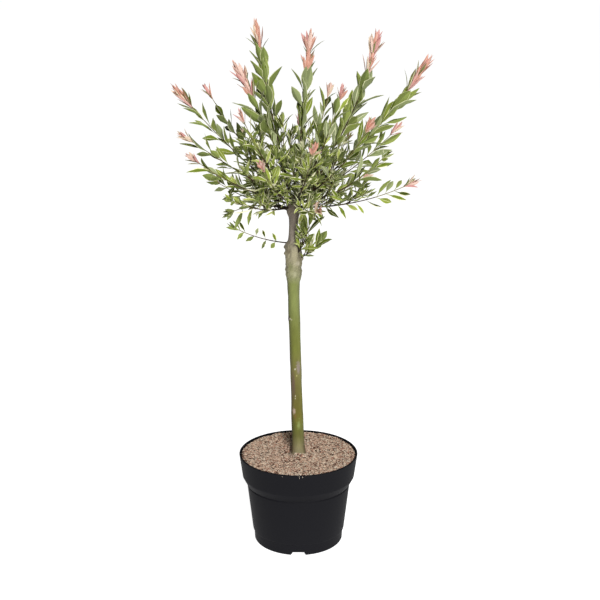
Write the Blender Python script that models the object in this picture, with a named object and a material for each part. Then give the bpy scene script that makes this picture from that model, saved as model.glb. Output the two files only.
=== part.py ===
"""Potted flamingo dappled willow: a grafted standard tree in a round nursery pot.

Lengths are in metres, +Z is up, and -Y faces the viewer. The origin is the centre of the pot's
flat underside. The tree has a bare stem, a thick graft union, a short upper stem and a knob, out of
which every bough grows. Each bough ends in one mass of foliage: a stem with side twigs and leaves.
"""

import math
from dataclasses import dataclass
from random import Random

import bmesh
import bpy
import numpy as np
from mathutils import Matrix

# Clearance between neighbouring solids
GAP = 0.0003

# Pot
RIM_RADIUS = 0.085
POT_HEIGHT = 0.133
COLLAR_FOOT_RADIUS = 0.0805
COLLAR_FOOT_HEIGHT = 0.099
BODY_TOP_RADIUS = 0.074
BODY_TOP_HEIGHT = 0.087
BODY_FOOT_RADIUS = 0.066
FOOT_STEP_HEIGHT = 0.018
FOOT_STEP_DROP = 0.001
FOOT_RADIUS = 0.064
FOOT_CHAMFER = 0.004
WALL = 0.0015
FLOOR = 0.003
LIP = 0.0024
POT_SIDES = 40
NOTCHES = 4
NOTCH_HEIGHT = 0.008
NOTCH_TOP_WIDTH = 0.014
NOTCH_FOOT_WIDTH = 0.024
NOTCH_INNER_RADIUS = 0.052
NOTCH_OUTER_RADIUS = 0.076

# Compost in the pot
SOIL_TOP = 0.130
SOIL_FLAT_RADIUS = 0.016
SOIL_DIP = 0.0012
SOIL_SHOULDER = 0.003
SOIL_CLEARANCE = 2 * GAP

# Trunk: height above its flat cut and radius at each station, through the graft union to the knob
TRUNK_STATIONS = (
    (0.0000, 0.0112),
    (0.0060, 0.0098),
    (0.0180, 0.0088),
    (0.0470, 0.0086),
    (0.0700, 0.0082),
    (0.1600, 0.0080),
    (0.2350, 0.0080),
    (0.2570, 0.0088),
    (0.2650, 0.0106),
    (0.2850, 0.0112),
    (0.3040, 0.0110),
    (0.3100, 0.0104),
    (0.3150, 0.0078),
    (0.3220, 0.0066),
    (0.3400, 0.0062),
    (0.3480, 0.0070),
    (0.3540, 0.0092),
    (0.3640, 0.0098),
    (0.3740, 0.0086),
    (0.3790, 0.0050),
)
TRUNK_SIDES = 12
TRUNK_LEAN = 0.0066
TRUNK_LEAN_HEIGHT = 0.24
TRUNK_SAMPLES = 90

# Crown: where shoots start, and the radii of their boughs and stems
HEAD_HEIGHT = 0.488
UNION_LEFT_HEIGHT = 0.442
UNION_RIGHT_HEIGHT = 0.422
UNION_LOW_HEIGHT = 0.418
KNOB_RISE = 0.018
KNOB_SPREAD = 0.003
BOUGH_SHARE = 0.17
BOUGH_RADIUS = 0.0016
BOUGH_SIDES = 4
BOUGH_POINTS = 4
STEM_START_RADIUS = 0.0012
STEM_TIP_RADIUS = 0.0006
STEM_POINTS = 6
SPROUT_START = 0.010
LINE_SAMPLES = 81
BARE_START = 0.012

# Side twigs
TWIG_SIDES = 3
SIDE_TWIGS = 2
SIDE_TWIG_LENGTH = 0.050
SIDE_TWIG_FIRST = 0.10
SIDE_TWIG_STEP = 0.30
SIDE_TWIG_SCATTER = 0.04
SIDE_TWIG_LOSS = 0.2
SIDE_TWIG_RADII = (0.0009, 0.0008, 0.0006, 0.0004)
TWIG_SHARES = (0.0, 0.35, 0.70, 1.0)
TWIG_FITS = (1.0, 0.75, 0.5)
TWIG_START_ALONG = 0.75
TWIG_START_OUT = 0.65
TWIG_START_UP = 0.15
TWIG_END_ALONG = 0.5
TWIG_END_UP = 0.35
COMMON_LENGTH = 0.20
LONGEST_SCALE = 1.2

# Leaves: angles in degrees, and shares of a leaf's length and half-width along its edges
LEAF_LENGTH = 0.033
LEAF_WIDTH = 0.0105
LEAF_THICKNESS = 0.0009
LEAF_FOLD = 0.10
WIDEST_SHARE = 0.45
LEAF_EDGES = ((0.3, 0.66), (0.45, 1.0), (0.7, 0.55))
LEAF_OPENING = 40.0
OPENING_SCATTER = 9.0
PAIR_SCATTER = 0.3
SIZE_RANGE = (0.85, 1.1)
NODE_SPACING = 0.025
BARE_TIP = 0.3
FIRST_PAIR = 0.4
TANGENT_STEP = 0.002
TUFT_LEAVES = 4
TUFT_LENGTH = 0.030
TUFT_WIDTH = 0.0058
TUFT_STEP = 0.0024
TUFT_REACH = 0.75
TUFT_OPENING = 6.0
TUFT_SPREAD = 15.0
TUFT_SCATTER = 2.0
TUFT_RANGE = (0.85, 1.0)
SIDE_LEAF_SCALE = 0.65
SIDE_TUFT_LEAVES = 2
ROOT_DEPTH = 0.0002
LEAF_FITS = (1.0, 0.8, 0.62, 0.5)
SPIRAL = 2.4

# Fusing: room kept at the border between two masses, and how often a mass is grown again
SPACE_MARGIN = 0.0010
WELD = 0.0000005
ATTEMPTS = 5

# Directions: straight up, and one that no twig runs along
UP = np.array((0.0, 0.0, 1.0))
SLANT = np.array((0.31, 0.17, 0.94))
STRAIGHT = 0.000001


@dataclass(frozen=True)
class Shoot:
    """One shoot of the crown, told by where its tip lies from its starting point on the trunk.

    azimuth and lean are in degrees, from +X and from straight up. reach is the distance to the tip.
    bow is how far the middle hangs outside the straight line. A sprout has no bough of its own.
    """

    name: str
    azimuth: float
    lean: float
    reach: float
    bow: float
    height: float = HEAD_HEIGHT
    has_bough: bool = True

    def level(self):
        """The level direction that the shoot leans in."""
        turn = math.radians(self.azimuth)
        return np.array((math.cos(turn), math.sin(turn), 0.0))

    def foot(self):
        """The shoot's lowest point, inside the knob or on the middle line of the graft union."""
        centre = np.array((-TRUNK_LEAN, 0.0, self.height))
        if not self.has_bough:
            return centre
        return centre + KNOB_SPREAD * self.level() + KNOB_RISE * math.cos(math.radians(self.lean)) * UP

    def line(self, shares):
        """Points at the given shares of the shoot's arc, a quadratic curve from foot to tip."""
        lean = math.radians(self.lean)
        centre = np.array((-TRUNK_LEAN, 0.0, self.height))
        tip = centre + self.reach * (math.sin(lean) * self.level() + math.cos(lean) * UP)
        outwards = math.cos(lean) * self.level() - math.sin(lean) * UP
        middle = (self.foot() + tip) / 2 + 2 * self.bow * outwards
        shares = np.asarray(shares, float)[:, None]
        return (1 - shares) ** 2 * self.foot() + 2 * shares * (1 - shares) * middle + shares**2 * tip

    def length(self):
        """The length of the shoot's arc."""
        steps = np.diff(self.line(np.linspace(0, 1, LINE_SAMPLES)), axis=0)
        return float(np.linalg.norm(steps, axis=1).sum())


SHOOTS = (
    Shoot("low_right", 357, 75, 0.179, 0.012),
    Shoot("low_right_front", 287, 78, 0.128, 0.003),
    Shoot("low_left_front", 222, 73, 0.126, 0.010),
    Shoot("low_left", 197, 92, 0.102, 0.003),
    Shoot("low_left_back", 142, 79, 0.160, 0.010),
    Shoot("low_right_back", 45, 77, 0.168, 0.012),
    Shoot("mid_right", 26, 57, 0.203, 0.010),
    Shoot("mid_right_front", 326, 57, 0.181, 0.014),
    Shoot("mid_front_right", 280, 53, 0.198, 0.012),
    Shoot("mid_front_left", 254, 58, 0.176, 0.010),
    Shoot("mid_left_front", 212, 60, 0.189, 0.009),
    Shoot("mid_left", 194, 54, 0.195, 0.002),
    Shoot("mid_left_back", 119, 62, 0.194, 0.010),
    Shoot("mid_back", 87, 56, 0.199, 0.012),
    Shoot("mid_right_back", 60, 63, 0.190, 0.010),
    Shoot("wide_left", 174, 44, 0.237, 0.006),
    Shoot("wide_left_back", 146, 43, 0.223, 0.008),
    Shoot("wide_right", 3, 41.5, 0.281, 0.013),
    Shoot("wide_right_front", 316, 45, 0.202, 0.014),
    Shoot("wide_right_back", 65, 38, 0.206, 0.008),
    Shoot("wide_front_left", 236, 39, 0.196, 0.006),
    Shoot("high_left", 147, 13.5, 0.262, 0.004),
    Shoot("high_left_front", 221, 26, 0.232, -0.008),
    Shoot("high_left_back", 108, 40, 0.207, 0.008),
    Shoot("high_middle", 70, 16, 0.250, 0.003),
    Shoot("high_right", 343, 25, 0.272, 0.018),
    Shoot("high_right_front", 308, 30, 0.211, 0.010),
    Shoot("union_left", 186, 72, 0.096, 0.006, UNION_LEFT_HEIGHT, False),
    Shoot("union_right", 304, 24, 0.098, 0.014, UNION_RIGHT_HEIGHT, False),
    Shoot("union_right_low", 342, 44, 0.066, 0.008, UNION_LOW_HEIGHT, False),
)


@dataclass(frozen=True)
class Leaf:
    """A pointed blade: its root, the way it points, the way its upper side faces, and its size."""

    root: np.ndarray
    way: np.ndarray
    face: np.ndarray
    length: float
    width: float
    blush: bool

    def side(self):
        """Half the leaf's width, as a vector to its right."""
        return np.cross(self.face, self.way) * self.width / 2

    def smaller(self, share):
        """The same leaf at a share of its size."""
        return Leaf(self.root, self.way, self.face, self.length * share, self.width * share, self.blush)

    def places(self):
        """Places down the middle, along both edges and at the tip, without the root."""
        found = [self.root + self.way * self.length]
        for share, breadth in LEAF_EDGES:
            middle = self.root + self.way * self.length * share
            found += [middle, middle + self.side() * breadth, middle - self.side() * breadth]
        return np.array(found)

    def shape(self):
        """(points, faces) of the blade, folded a little along its middle, with a keel below."""
        middle = self.root + self.way * self.length * WIDEST_SHARE
        raised = middle + self.face * self.width * LEAF_FOLD
        tip = self.root + self.way * self.length
        keel = middle - self.face * LEAF_THICKNESS
        points = [self.root, raised - self.side(), tip, raised + self.side(), keel]
        faces = [(0, 1, 2), (0, 2, 3), (1, 0, 4), (2, 1, 4), (3, 2, 4), (0, 3, 4)]
        return points, faces


class Space:
    """Which shoot each place belongs to: the one whose line runs nearest."""

    def __init__(self, lines, limbs):
        self.points = np.vstack(lines)
        self.owners = np.repeat(np.arange(len(lines)), [len(line) for line in lines])
        self.limb_points = np.vstack([points for points, _ in limbs])
        self.limb_radii = np.concatenate([radii for _, radii in limbs])

    def holds(self, owner, places):
        """Whether all the places lie in this shoot's space and clear of every limb."""
        gaps = np.linalg.norm(places[:, None] - self.points[None], axis=2)
        own = gaps[:, self.owners == owner].min(axis=1)
        other = gaps[:, self.owners != owner].min(axis=1)
        limbs = np.linalg.norm(places[:, None] - self.limb_points[None], axis=2) - self.limb_radii
        return bool((own + SPACE_MARGIN < other).all() and (limbs > SPACE_MARGIN).all())


def unit(vector):
    """The vector at length one."""
    return vector / np.linalg.norm(vector)


def clear_scene():
    """Removes everything that the opening scene holds."""
    for obj in list(bpy.data.objects):
        bpy.data.objects.remove(obj, do_unlink=True)


def make_material(name, colour, roughness):
    """A plain Principled material of one colour."""
    material = bpy.data.materials.new(name)
    material.use_nodes = True
    shader = material.node_tree.nodes["Principled BSDF"]
    shader.inputs["Base Color"].default_value = (*colour, 1.0)
    shader.inputs["Roughness"].default_value = roughness
    shader.inputs["Metallic"].default_value = 0.0
    return material


def add_mesh(name, shape, material, collection=None):
    """An object made from (points, faces)."""
    points, faces = shape
    mesh = bpy.data.meshes.new(name)
    mesh.from_pydata([tuple(point) for point in points], [], faces)
    mesh.materials.append(material)
    obj = bpy.data.objects.new(name, mesh)
    (collection or bpy.context.scene.collection).objects.link(obj)
    return obj


def shade_round(obj, angle=40.0):
    """Smooth shading, with edges over the angle in degrees left sharp."""
    obj.data.shade_smooth()
    obj.data.set_sharp_from_angle(angle=math.radians(angle))


def make_helper(obj):
    """Marks a cutter, which is not part of the tree."""
    obj.hide_render = True
    obj.display_type = "WIRE"


def cut(obj, cutter):
    """Takes the cutter's shape out of the object."""
    modifier = obj.modifiers.new("cut", "BOOLEAN")
    modifier.operation = "DIFFERENCE"
    modifier.solver = "EXACT"
    modifier.object = cutter


def turned(name, profile, material):
    """A closed solid turned round the Z axis from a profile of (radius, height) pairs."""
    mesh = bpy.data.meshes.new(name)
    points = [(radius, 0.0, height) for radius, height in profile]
    mesh.from_pydata(points, [(i, i + 1) for i in range(len(points) - 1)], [])
    mesh.materials.append(material)
    obj = bpy.data.objects.new(name, mesh)
    bpy.context.scene.collection.objects.link(obj)
    screw = obj.modifiers.new("turn", "SCREW")
    screw.axis = "Z"
    screw.steps = POT_SIDES
    screw.render_steps = POT_SIDES
    screw.use_merge_vertices = True
    screw.merge_threshold = 0.00001
    return obj


def tube(points, radii, sides, level=False):
    """(points, faces) of a closed tube with flat ends, along a line that stays in one plane.

    Its rings are square to the line, or level where that is asked.
    """
    points = np.asarray(points, float)
    radii = np.asarray(radii, float)
    along = np.tile(UP, (len(points), 1)) if level else np.gradient(points, axis=0)
    along /= np.linalg.norm(along, axis=1)[:, None]
    normal = np.cross(along[0], along[-1])
    if np.linalg.norm(normal) < STRAIGHT:
        normal = np.cross(along[0], SLANT)
    normal = unit(normal)
    turns = np.arange(sides) * 2 * math.pi / sides
    ring = np.cos(turns)[None, :, None] * normal
    ring = ring + np.sin(turns)[None, :, None] * np.cross(along, normal)[:, None]
    shape = points[:, None] + radii[:, None, None] * ring
    last = (len(points) - 1) * sides
    faces = [tuple(range(sides - 1, -1, -1)), tuple(range(last, last + sides))]
    for low in range(0, last, sides):
        for j in range(sides):
            k = (j + 1) % sides
            faces.append((low + j, low + k, low + sides + k, low + sides + j))
    return shape.reshape(-1, 3), faces


def pot_profile():
    """The pot's wall in section: up the inside from the middle of the floor, and down the outside."""
    inside = [
        (0.0, FLOOR),
        (FOOT_RADIUS - 2 * WALL, FLOOR),
        (BODY_TOP_RADIUS - WALL, BODY_TOP_HEIGHT + WALL),
        (COLLAR_FOOT_RADIUS - WALL, COLLAR_FOOT_HEIGHT + WALL),
        (RIM_RADIUS - LIP, POT_HEIGHT - LIP),
        (RIM_RADIUS - 0.8 * LIP, POT_HEIGHT - 0.3 * LIP),
    ]
    rim = [
        (RIM_RADIUS - 0.5 * LIP, POT_HEIGHT),
        (RIM_RADIUS - 0.2 * LIP, POT_HEIGHT - 0.3 * LIP),
        (RIM_RADIUS, POT_HEIGHT - 1.2 * LIP),
    ]
    outside = [
        (COLLAR_FOOT_RADIUS, COLLAR_FOOT_HEIGHT),
        (BODY_TOP_RADIUS, BODY_TOP_HEIGHT),
        (BODY_FOOT_RADIUS, FOOT_STEP_HEIGHT),
        (FOOT_RADIUS, FOOT_STEP_HEIGHT - FOOT_STEP_DROP),
        (FOOT_RADIUS, FOOT_CHAMFER),
        (FOOT_RADIUS - FOOT_CHAMFER, 0.0),
        (0.0, 0.0),
    ]
    return inside + rim + outside


def notch_shape():
    """A bar that narrows upwards and runs out through the foot of the pot's front."""
    foot = NOTCH_FOOT_WIDTH / 2
    top = NOTCH_TOP_WIDTH / 2
    outline = [(-foot, -WALL), (foot, -WALL), (top, NOTCH_HEIGHT), (-top, NOTCH_HEIGHT)]
    inner = [(x, -NOTCH_INNER_RADIUS, z) for x, z in outline]
    outer = [(x, -NOTCH_OUTER_RADIUS, z) for x, z in outline]
    sides = [(0, 4, 5, 1), (1, 5, 6, 2), (2, 6, 7, 3), (3, 7, 4, 0)]
    return inner + outer, [(0, 1, 2, 3), (7, 6, 5, 4)] + sides


def face_outwards(mesh):
    """Turns the faces of a closed mesh outwards."""
    shape = bmesh.new()
    shape.from_mesh(mesh)
    bmesh.ops.recalc_face_normals(shape, faces=shape.faces)
    shape.to_mesh(mesh)
    shape.free()


def make_pot(plastic):
    """The pot, with its drainage notches cut through the foot of the wall."""
    pot = turned("pot", pot_profile(), plastic)
    for i in range(NOTCHES):
        cutter = add_mesh(f"notch_cutter_{i + 1}", notch_shape(), plastic)
        cutter.data.transform(Matrix.Rotation(2 * math.pi * i / NOTCHES, 4, "Z"))
        face_outwards(cutter.data)
        make_helper(cutter)
        cut(pot, cutter)
    shade_round(pot)


def make_soil(compost):
    """The compost that fills the pot, flat under the trunk and dipped a little round it."""
    flat = math.cos(math.pi / POT_SIDES)
    edge = (RIM_RADIUS - LIP) * flat - SOIL_CLEARANCE
    profile = [
        (0.0, SOIL_TOP),
        (SOIL_FLAT_RADIUS, SOIL_TOP),
        ((SOIL_FLAT_RADIUS + edge) / 2, SOIL_TOP - SOIL_DIP),
        (edge - SOIL_SHOULDER, SOIL_TOP),
        (edge - SOIL_CLEARANCE, SOIL_TOP - SOIL_SHOULDER),
        ((COLLAR_FOOT_RADIUS - WALL) * flat - SOIL_CLEARANCE, COLLAR_FOOT_HEIGHT + WALL),
        ((BODY_TOP_RADIUS - WALL) * flat - SOIL_CLEARANCE, BODY_TOP_HEIGHT + WALL),
        ((FOOT_RADIUS - 2 * WALL) * flat - SOIL_CLEARANCE, FLOOR + GAP),
        (0.0, FLOOR + GAP),
    ]
    shade_round(turned("soil", profile, compost))


def trunk_point(height):
    """The trunk's middle at a height above its flat cut: it leans left, then runs straight up."""
    return (-TRUNK_LEAN * min(height / TRUNK_LEAN_HEIGHT, 1.0), 0.0, SOIL_TOP + GAP + height)


def trunk_shape(extra=0.0):
    """The trunk from the compost to the knob, with its radius made larger by extra."""
    points = [trunk_point(height) for height, _ in TRUNK_STATIONS]
    radii = [radius + extra for _, radius in TRUNK_STATIONS]
    return tube(points, radii, TRUNK_SIDES, level=True)


def trunk_limb():
    """Places up the middle of the trunk, and its radius at each."""
    heights = np.linspace(0.0, TRUNK_STATIONS[-1][0], TRUNK_SAMPLES)
    stations = np.array(TRUNK_STATIONS)
    points = np.array([trunk_point(height) for height in heights])
    return points, np.interp(heights, stations[:, 0], stations[:, 1])


def crown_space():
    """The space of every shoot, with the trunk and the boughs kept clear."""
    lines = []
    limbs = [trunk_limb()]
    for shoot in SHOOTS:
        line = shoot.line(np.linspace(0, 1, LINE_SAMPLES))
        away = np.linalg.norm(line - line[0], axis=1)
        lines.append(line[away > BARE_START])
        if shoot.has_bough:
            bare = line[: int(BOUGH_SHARE * LINE_SAMPLES)]
            limbs.append((bare, np.full(len(bare), BOUGH_RADIUS)))
    return Space(lines, limbs)


def leaf_at(foot, along, turn, opening, size, blush=False):
    """A leaf that stands out of a twig at a turn round it, opened by an angle in degrees."""
    normal = unit(np.cross(along, SLANT))
    out = math.cos(turn) * normal + math.sin(turn) * np.cross(along, normal)
    angle = math.radians(opening)
    way = math.cos(angle) * along + math.sin(angle) * out
    face = unit(along - way * np.dot(along, way))
    return Leaf(foot - way * ROOT_DEPTH, way, face, size[0], size[1], blush)


def fitted(leaf, space, owner):
    """The leaf, made smaller until its space holds it, or None."""
    for share in LEAF_FITS:
        smaller = leaf.smaller(share)
        if space.holds(owner, smaller.places()):
            return smaller
    return None


def place_on(points, run, distance):
    """The point at a distance along a line of points."""
    return np.array([np.interp(distance, run, points[:, axis]) for axis in range(3)])


def leaf_pairs(points, spacing, scale, rng):
    """Pairs of leaves along a twig, each pair a quarter turn on from the last."""
    steps = np.linalg.norm(np.diff(points, axis=0), axis=1)
    run = np.concatenate([[0.0], np.cumsum(steps)])
    leafy = run[-1] - BARE_TIP * spacing
    pairs = max(int(leafy / spacing), 1)
    turn = rng.uniform(0, math.pi)
    leaves = []
    for i in range(pairs):
        distance = run[-1] - (pairs - i - FIRST_PAIR) * leafy / pairs
        foot = place_on(points, run, distance)
        before = place_on(points, run, distance - TANGENT_STEP)
        along = unit(place_on(points, run, distance + TANGENT_STEP) - before)
        turn += math.pi / 2 + rng.uniform(-PAIR_SCATTER, PAIR_SCATTER)
        for half in (0.0, math.pi):
            opening = LEAF_OPENING + rng.uniform(-OPENING_SCATTER, OPENING_SCATTER)
            length = LEAF_LENGTH * scale * rng.uniform(*SIZE_RANGE)
            width = LEAF_WIDTH * scale * rng.uniform(*SIZE_RANGE)
            leaves.append(leaf_at(foot, along, turn + half, opening, (length, width)))
    return leaves


def tuft(points, count, scale, rng):
    """Narrow upright leaves round the tip of a twig, the youngest ones nearly in line with it."""
    along = unit(points[-1] - points[-2])
    turn = rng.uniform(0, math.pi)
    leaves = []
    for i in range(count):
        foot = points[-1] - along * TUFT_STEP * (i + 0.6)
        opening = TUFT_OPENING + TUFT_SPREAD * i / (count - 1) + rng.uniform(-TUFT_SCATTER, TUFT_SCATTER)
        size = (TUFT_LENGTH * scale * rng.uniform(*TUFT_RANGE), TUFT_WIDTH * scale)
        leaves.append(leaf_at(foot, along, turn + SPIRAL * i, opening, size, blush=True))
    return leaves


def side_twig(points, share, turn, length, owner, space):
    """A twig that leaves the stem at a share of its run and bends up, or None where it has no room."""
    place = share * (len(points) - 1)
    index = int(place)
    foot = points[index] + (points[index + 1] - points[index]) * (place - index)
    along = unit(points[index + 1] - points[index])
    normal = unit(np.cross(along, SLANT))
    out = math.cos(turn) * normal + math.sin(turn) * np.cross(along, normal)
    first = unit(TWIG_START_ALONG * along + TWIG_START_OUT * out + TWIG_START_UP * UP)
    last = unit(first + TWIG_END_ALONG * along + TWIG_END_UP * UP)
    shares = np.array(TWIG_SHARES)[:, None]
    for fit in TWIG_FITS:
        middle = foot + first * length * fit / 2
        tip = middle + last * length * fit / 2
        line = (1 - shares) ** 2 * foot + 2 * shares * (1 - shares) * middle + shares**2 * tip
        if space.holds(owner, line[1:]):
            return line
    return None


def grow_mass(stem, length, owner, space, rng):
    """The side twigs and the leaves of one mass, by the same rule for every shoot."""
    twigs = []
    leaves = leaf_pairs(stem, NODE_SPACING, 1.0, rng) + tuft(stem, TUFT_LEAVES, 1.0, rng)
    turn = rng.uniform(0, 2 * math.pi)
    for i in range(SIDE_TWIGS):
        turn += SPIRAL
        share = SIDE_TWIG_FIRST + SIDE_TWIG_STEP * i
        share += rng.uniform(-SIDE_TWIG_SCATTER, SIDE_TWIG_SCATTER)
        reach = SIDE_TWIG_LENGTH * min(length / COMMON_LENGTH, LONGEST_SCALE)
        reach *= 1 - SIDE_TWIG_LOSS * i
        twig = side_twig(stem, share, turn, reach, owner, space)
        if twig is not None:
            twigs.append(twig)
            leaves += leaf_pairs(twig, NODE_SPACING, SIDE_LEAF_SCALE, rng)
            leaves += tuft(twig, SIDE_TUFT_LEAVES, SIDE_LEAF_SCALE, rng)
    grown = [fitted(leaf, space, owner) for leaf in leaves]
    return twigs, [leaf for leaf in grown if leaf]


def body_volume(faces):
    """The volume inside a closed set of triangles, negative where they face inwards."""
    total = 0.0
    for face in faces:
        a, b, c = (vert.co for vert in face.verts)
        total += a.dot(b.cross(c)) / 6
    return total


def bodies_of(shape):
    """The faces of a mesh in connected groups, from the smallest volume to the largest."""
    left = set(shape.faces)
    bodies = []
    while left:
        body = [left.pop()]
        for face in body:
            for edge in face.edges:
                for other in edge.link_faces:
                    if len(edge.link_faces) == 2 and other in left:
                        left.remove(other)
                        body.append(other)
        bodies.append(body)
    return sorted(bodies, key=body_volume)


def keep_main_body(mesh):
    """Drops loose scraps and the walls of sealed hollows. Returns whether what is left is closed."""
    shape = bmesh.new()
    shape.from_mesh(mesh)
    bmesh.ops.triangulate(shape, faces=shape.faces)
    scraps = [face for body in bodies_of(shape)[:-1] for face in body]
    bmesh.ops.delete(shape, geom=scraps, context="FACES")
    bmesh.ops.remove_doubles(shape, verts=shape.verts, dist=WELD)
    closed = all(len(edge.link_faces) == 2 for edge in shape.edges)
    shape.to_mesh(mesh)
    shape.free()
    return closed


def fuse(mass, pieces, cutter):
    """Joins the pieces to a mass's stem, one body in all. Returns whether the joined mesh is closed.

    pieces are (shape, material) pairs. The cutter keeps a sprout clear of the trunk.
    """
    group = bpy.data.collections.new(mass.name + "_pieces")
    bpy.context.scene.collection.children.link(group)
    for i, (shape, material) in enumerate(pieces):
        add_mesh(f"{mass.name}_piece_{i + 1}", shape, material, group)
    join = mass.modifiers.new("join", "BOOLEAN")
    join.operation = "UNION"
    join.solver = "EXACT"
    join.operand_type = "COLLECTION"
    join.collection = group
    if cutter:
        cut(mass, cutter)
    bpy.context.view_layer.update()
    joined = mass.evaluated_get(bpy.context.evaluated_depsgraph_get())
    mesh = bpy.data.meshes.new_from_object(joined)
    mass.modifiers.clear()
    mass.data = mesh
    for piece in list(group.objects):
        bpy.data.objects.remove(piece, do_unlink=True)
    bpy.data.collections.remove(group)
    return keep_main_body(mesh)


def make_bough(shoot, clearance, bark):
    """One tapering limb from the knob to where it enters its mass, cut clear of the knob."""
    line = shoot.line(np.linspace(0.0, BOUGH_SHARE, BOUGH_POINTS))
    radii = np.linspace(BOUGH_RADIUS, STEM_START_RADIUS, BOUGH_POINTS)
    bough = add_mesh(f"bough_{shoot.name}", tube(line, radii, BOUGH_SIDES), bark)
    cut(bough, clearance)


def make_mass(shoot, owner, space, clearance, greens):
    """One mass of foliage, which starts just clear of its bough's tip or of the graft union."""
    length = shoot.length()
    start = BOUGH_SHARE + GAP / length if shoot.has_bough else SPROUT_START / length
    end = 1.0 - TUFT_REACH * TUFT_LENGTH / length
    stem = shoot.line(np.linspace(start, end, STEM_POINTS))
    radii = np.linspace(STEM_START_RADIUS, STEM_TIP_RADIUS, STEM_POINTS)
    leaf_green, leaf_blush = greens
    for attempt in range(ATTEMPTS):
        rng = Random(len(SHOOTS) * attempt + owner)
        twigs, leaves = grow_mass(stem, length, owner, space, rng)
        pieces = [(tube(twig, SIDE_TWIG_RADII, TWIG_SIDES), leaf_green) for twig in twigs]
        for leaf in leaves:
            pieces.append((leaf.shape(), leaf_blush if leaf.blush else leaf_green))
        mass = add_mesh(f"foliage_{shoot.name}", tube(stem, radii, TWIG_SIDES), leaf_green)
        mass.data.materials.append(leaf_blush)
        if fuse(mass, pieces, None if shoot.has_bough else clearance):
            return len(leaves)
        bpy.data.objects.remove(mass, do_unlink=True)
    raise RuntimeError(f"{shoot.name} has no closed mesh")


def build():
    """Makes every piece in order: pot, compost, trunk, boughs and masses of foliage."""
    clear_scene()
    plastic = make_material("pot_plastic", (0.018, 0.019, 0.022), 0.45)
    compost = make_material("compost", (0.30, 0.19, 0.11), 0.95)
    bark = make_material("bark", (0.21, 0.23, 0.09), 0.8)
    leaf_green = make_material("leaf_green", (0.16, 0.27, 0.07), 0.6)
    leaf_blush = make_material("leaf_blush", (0.85, 0.42, 0.36), 0.6)

    make_pot(plastic)
    make_soil(compost)
    shade_round(add_mesh("trunk", trunk_shape(), bark))
    clearance = add_mesh("trunk_clearance", trunk_shape(GAP), bark)
    make_helper(clearance)

    space = crown_space()
    leaves = 0
    for owner, shoot in enumerate(SHOOTS):
        if shoot.has_bough:
            make_bough(shoot, clearance, bark)
        leaves += make_mass(shoot, owner, space, clearance, (leaf_green, leaf_blush))
    print(f"{len(SHOOTS)} masses of foliage with {leaves} leaves")


build()
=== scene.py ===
"""Looks of a potted flamingo dappled willow: a grafted standard tree in a round nursery pot.

Lengths are in metres, +Z is up and -Y faces the viewer. The origin is the centre of the pot's flat
underside. Every surface is worked out with numpy on a grid of two parameters and put into a mesh as
whole arrays. The crown grows from a table of shoots by one rule, which every shoot follows.
"""

import logging
import math
from dataclasses import astuple, dataclass, field
from enum import Enum
from functools import cache

import bpy
import numpy as np
from mathutils import Matrix


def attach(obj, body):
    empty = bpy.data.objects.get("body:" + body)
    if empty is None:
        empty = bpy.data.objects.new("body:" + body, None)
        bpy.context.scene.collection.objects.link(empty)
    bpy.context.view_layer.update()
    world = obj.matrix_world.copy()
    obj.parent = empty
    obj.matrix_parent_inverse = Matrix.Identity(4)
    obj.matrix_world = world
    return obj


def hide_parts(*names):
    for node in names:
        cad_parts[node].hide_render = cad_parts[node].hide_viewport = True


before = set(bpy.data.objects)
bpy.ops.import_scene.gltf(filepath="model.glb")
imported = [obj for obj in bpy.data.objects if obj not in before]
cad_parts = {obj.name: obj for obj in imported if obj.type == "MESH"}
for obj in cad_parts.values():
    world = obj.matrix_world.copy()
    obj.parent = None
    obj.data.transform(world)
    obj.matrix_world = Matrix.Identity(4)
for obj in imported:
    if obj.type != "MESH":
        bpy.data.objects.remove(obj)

LOG = logging.getLogger("willow")
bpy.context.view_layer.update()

UP = np.array((0.0, 0.0, 1.0))
SLANT = np.array((0.31, 0.17, 0.94))
TURN = 2 * math.pi
SPIRAL = 2.4

Colour = tuple[float, float, float]


class Tint(Enum):
    """Colours of leaves, from the oldest green to the youngest cream."""

    DEEP = "deep"
    MID = "mid"
    FRESH = "fresh"
    LIME = "lime"
    GREY = "grey"
    PALE = "pale"
    OLIVE = "olive"
    BRONZE = "bronze"
    SALMON = "salmon"
    ROSE = "rose"
    BLUSH = "blush"
    CREAM = "cream"


class Part(Enum):
    """Strips of a leaf that have a colour each.

    BLADE and BELOW are one half each of its upper side and its underside; the other halves are painted
    shade, darker copies for the shaded side of a folded leaf. PALE is its midrib or its margin.
    """

    BLADE = 0
    # painted shade: the darker half of the upper side
    PAINTED_SHADE_HALF = 1
    PALE = 2
    BELOW = 3
    # painted shade: the darker half of the underside
    SHADE = 4


BLADE_COLOURS: dict[Tint, Colour] = {
    Tint.DEEP: (0.050, 0.070, 0.008),
    Tint.MID: (0.152, 0.204, 0.024),
    Tint.FRESH: (0.268, 0.330, 0.052),
    Tint.LIME: (0.385, 0.435, 0.108),
    Tint.GREY: (0.300, 0.342, 0.172),
    Tint.PALE: (0.820, 0.800, 0.540),
    Tint.OLIVE: (0.186, 0.170, 0.060),
    Tint.BRONZE: (0.340, 0.205, 0.115),
    Tint.SALMON: (0.650, 0.330, 0.240),
    Tint.ROSE: (0.650, 0.320, 0.290),
    Tint.BLUSH: (0.750, 0.520, 0.430),
    Tint.CREAM: (0.750, 0.590, 0.430),
}
GREEN_TINTS = (Tint.DEEP, Tint.MID, Tint.FRESH, Tint.LIME, Tint.GREY, Tint.PALE)
TURNING_TINTS = (Tint.OLIVE, Tint.BRONZE)
PINK_TINTS = (Tint.SALMON, Tint.ROSE, Tint.BLUSH, Tint.CREAM)


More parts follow.
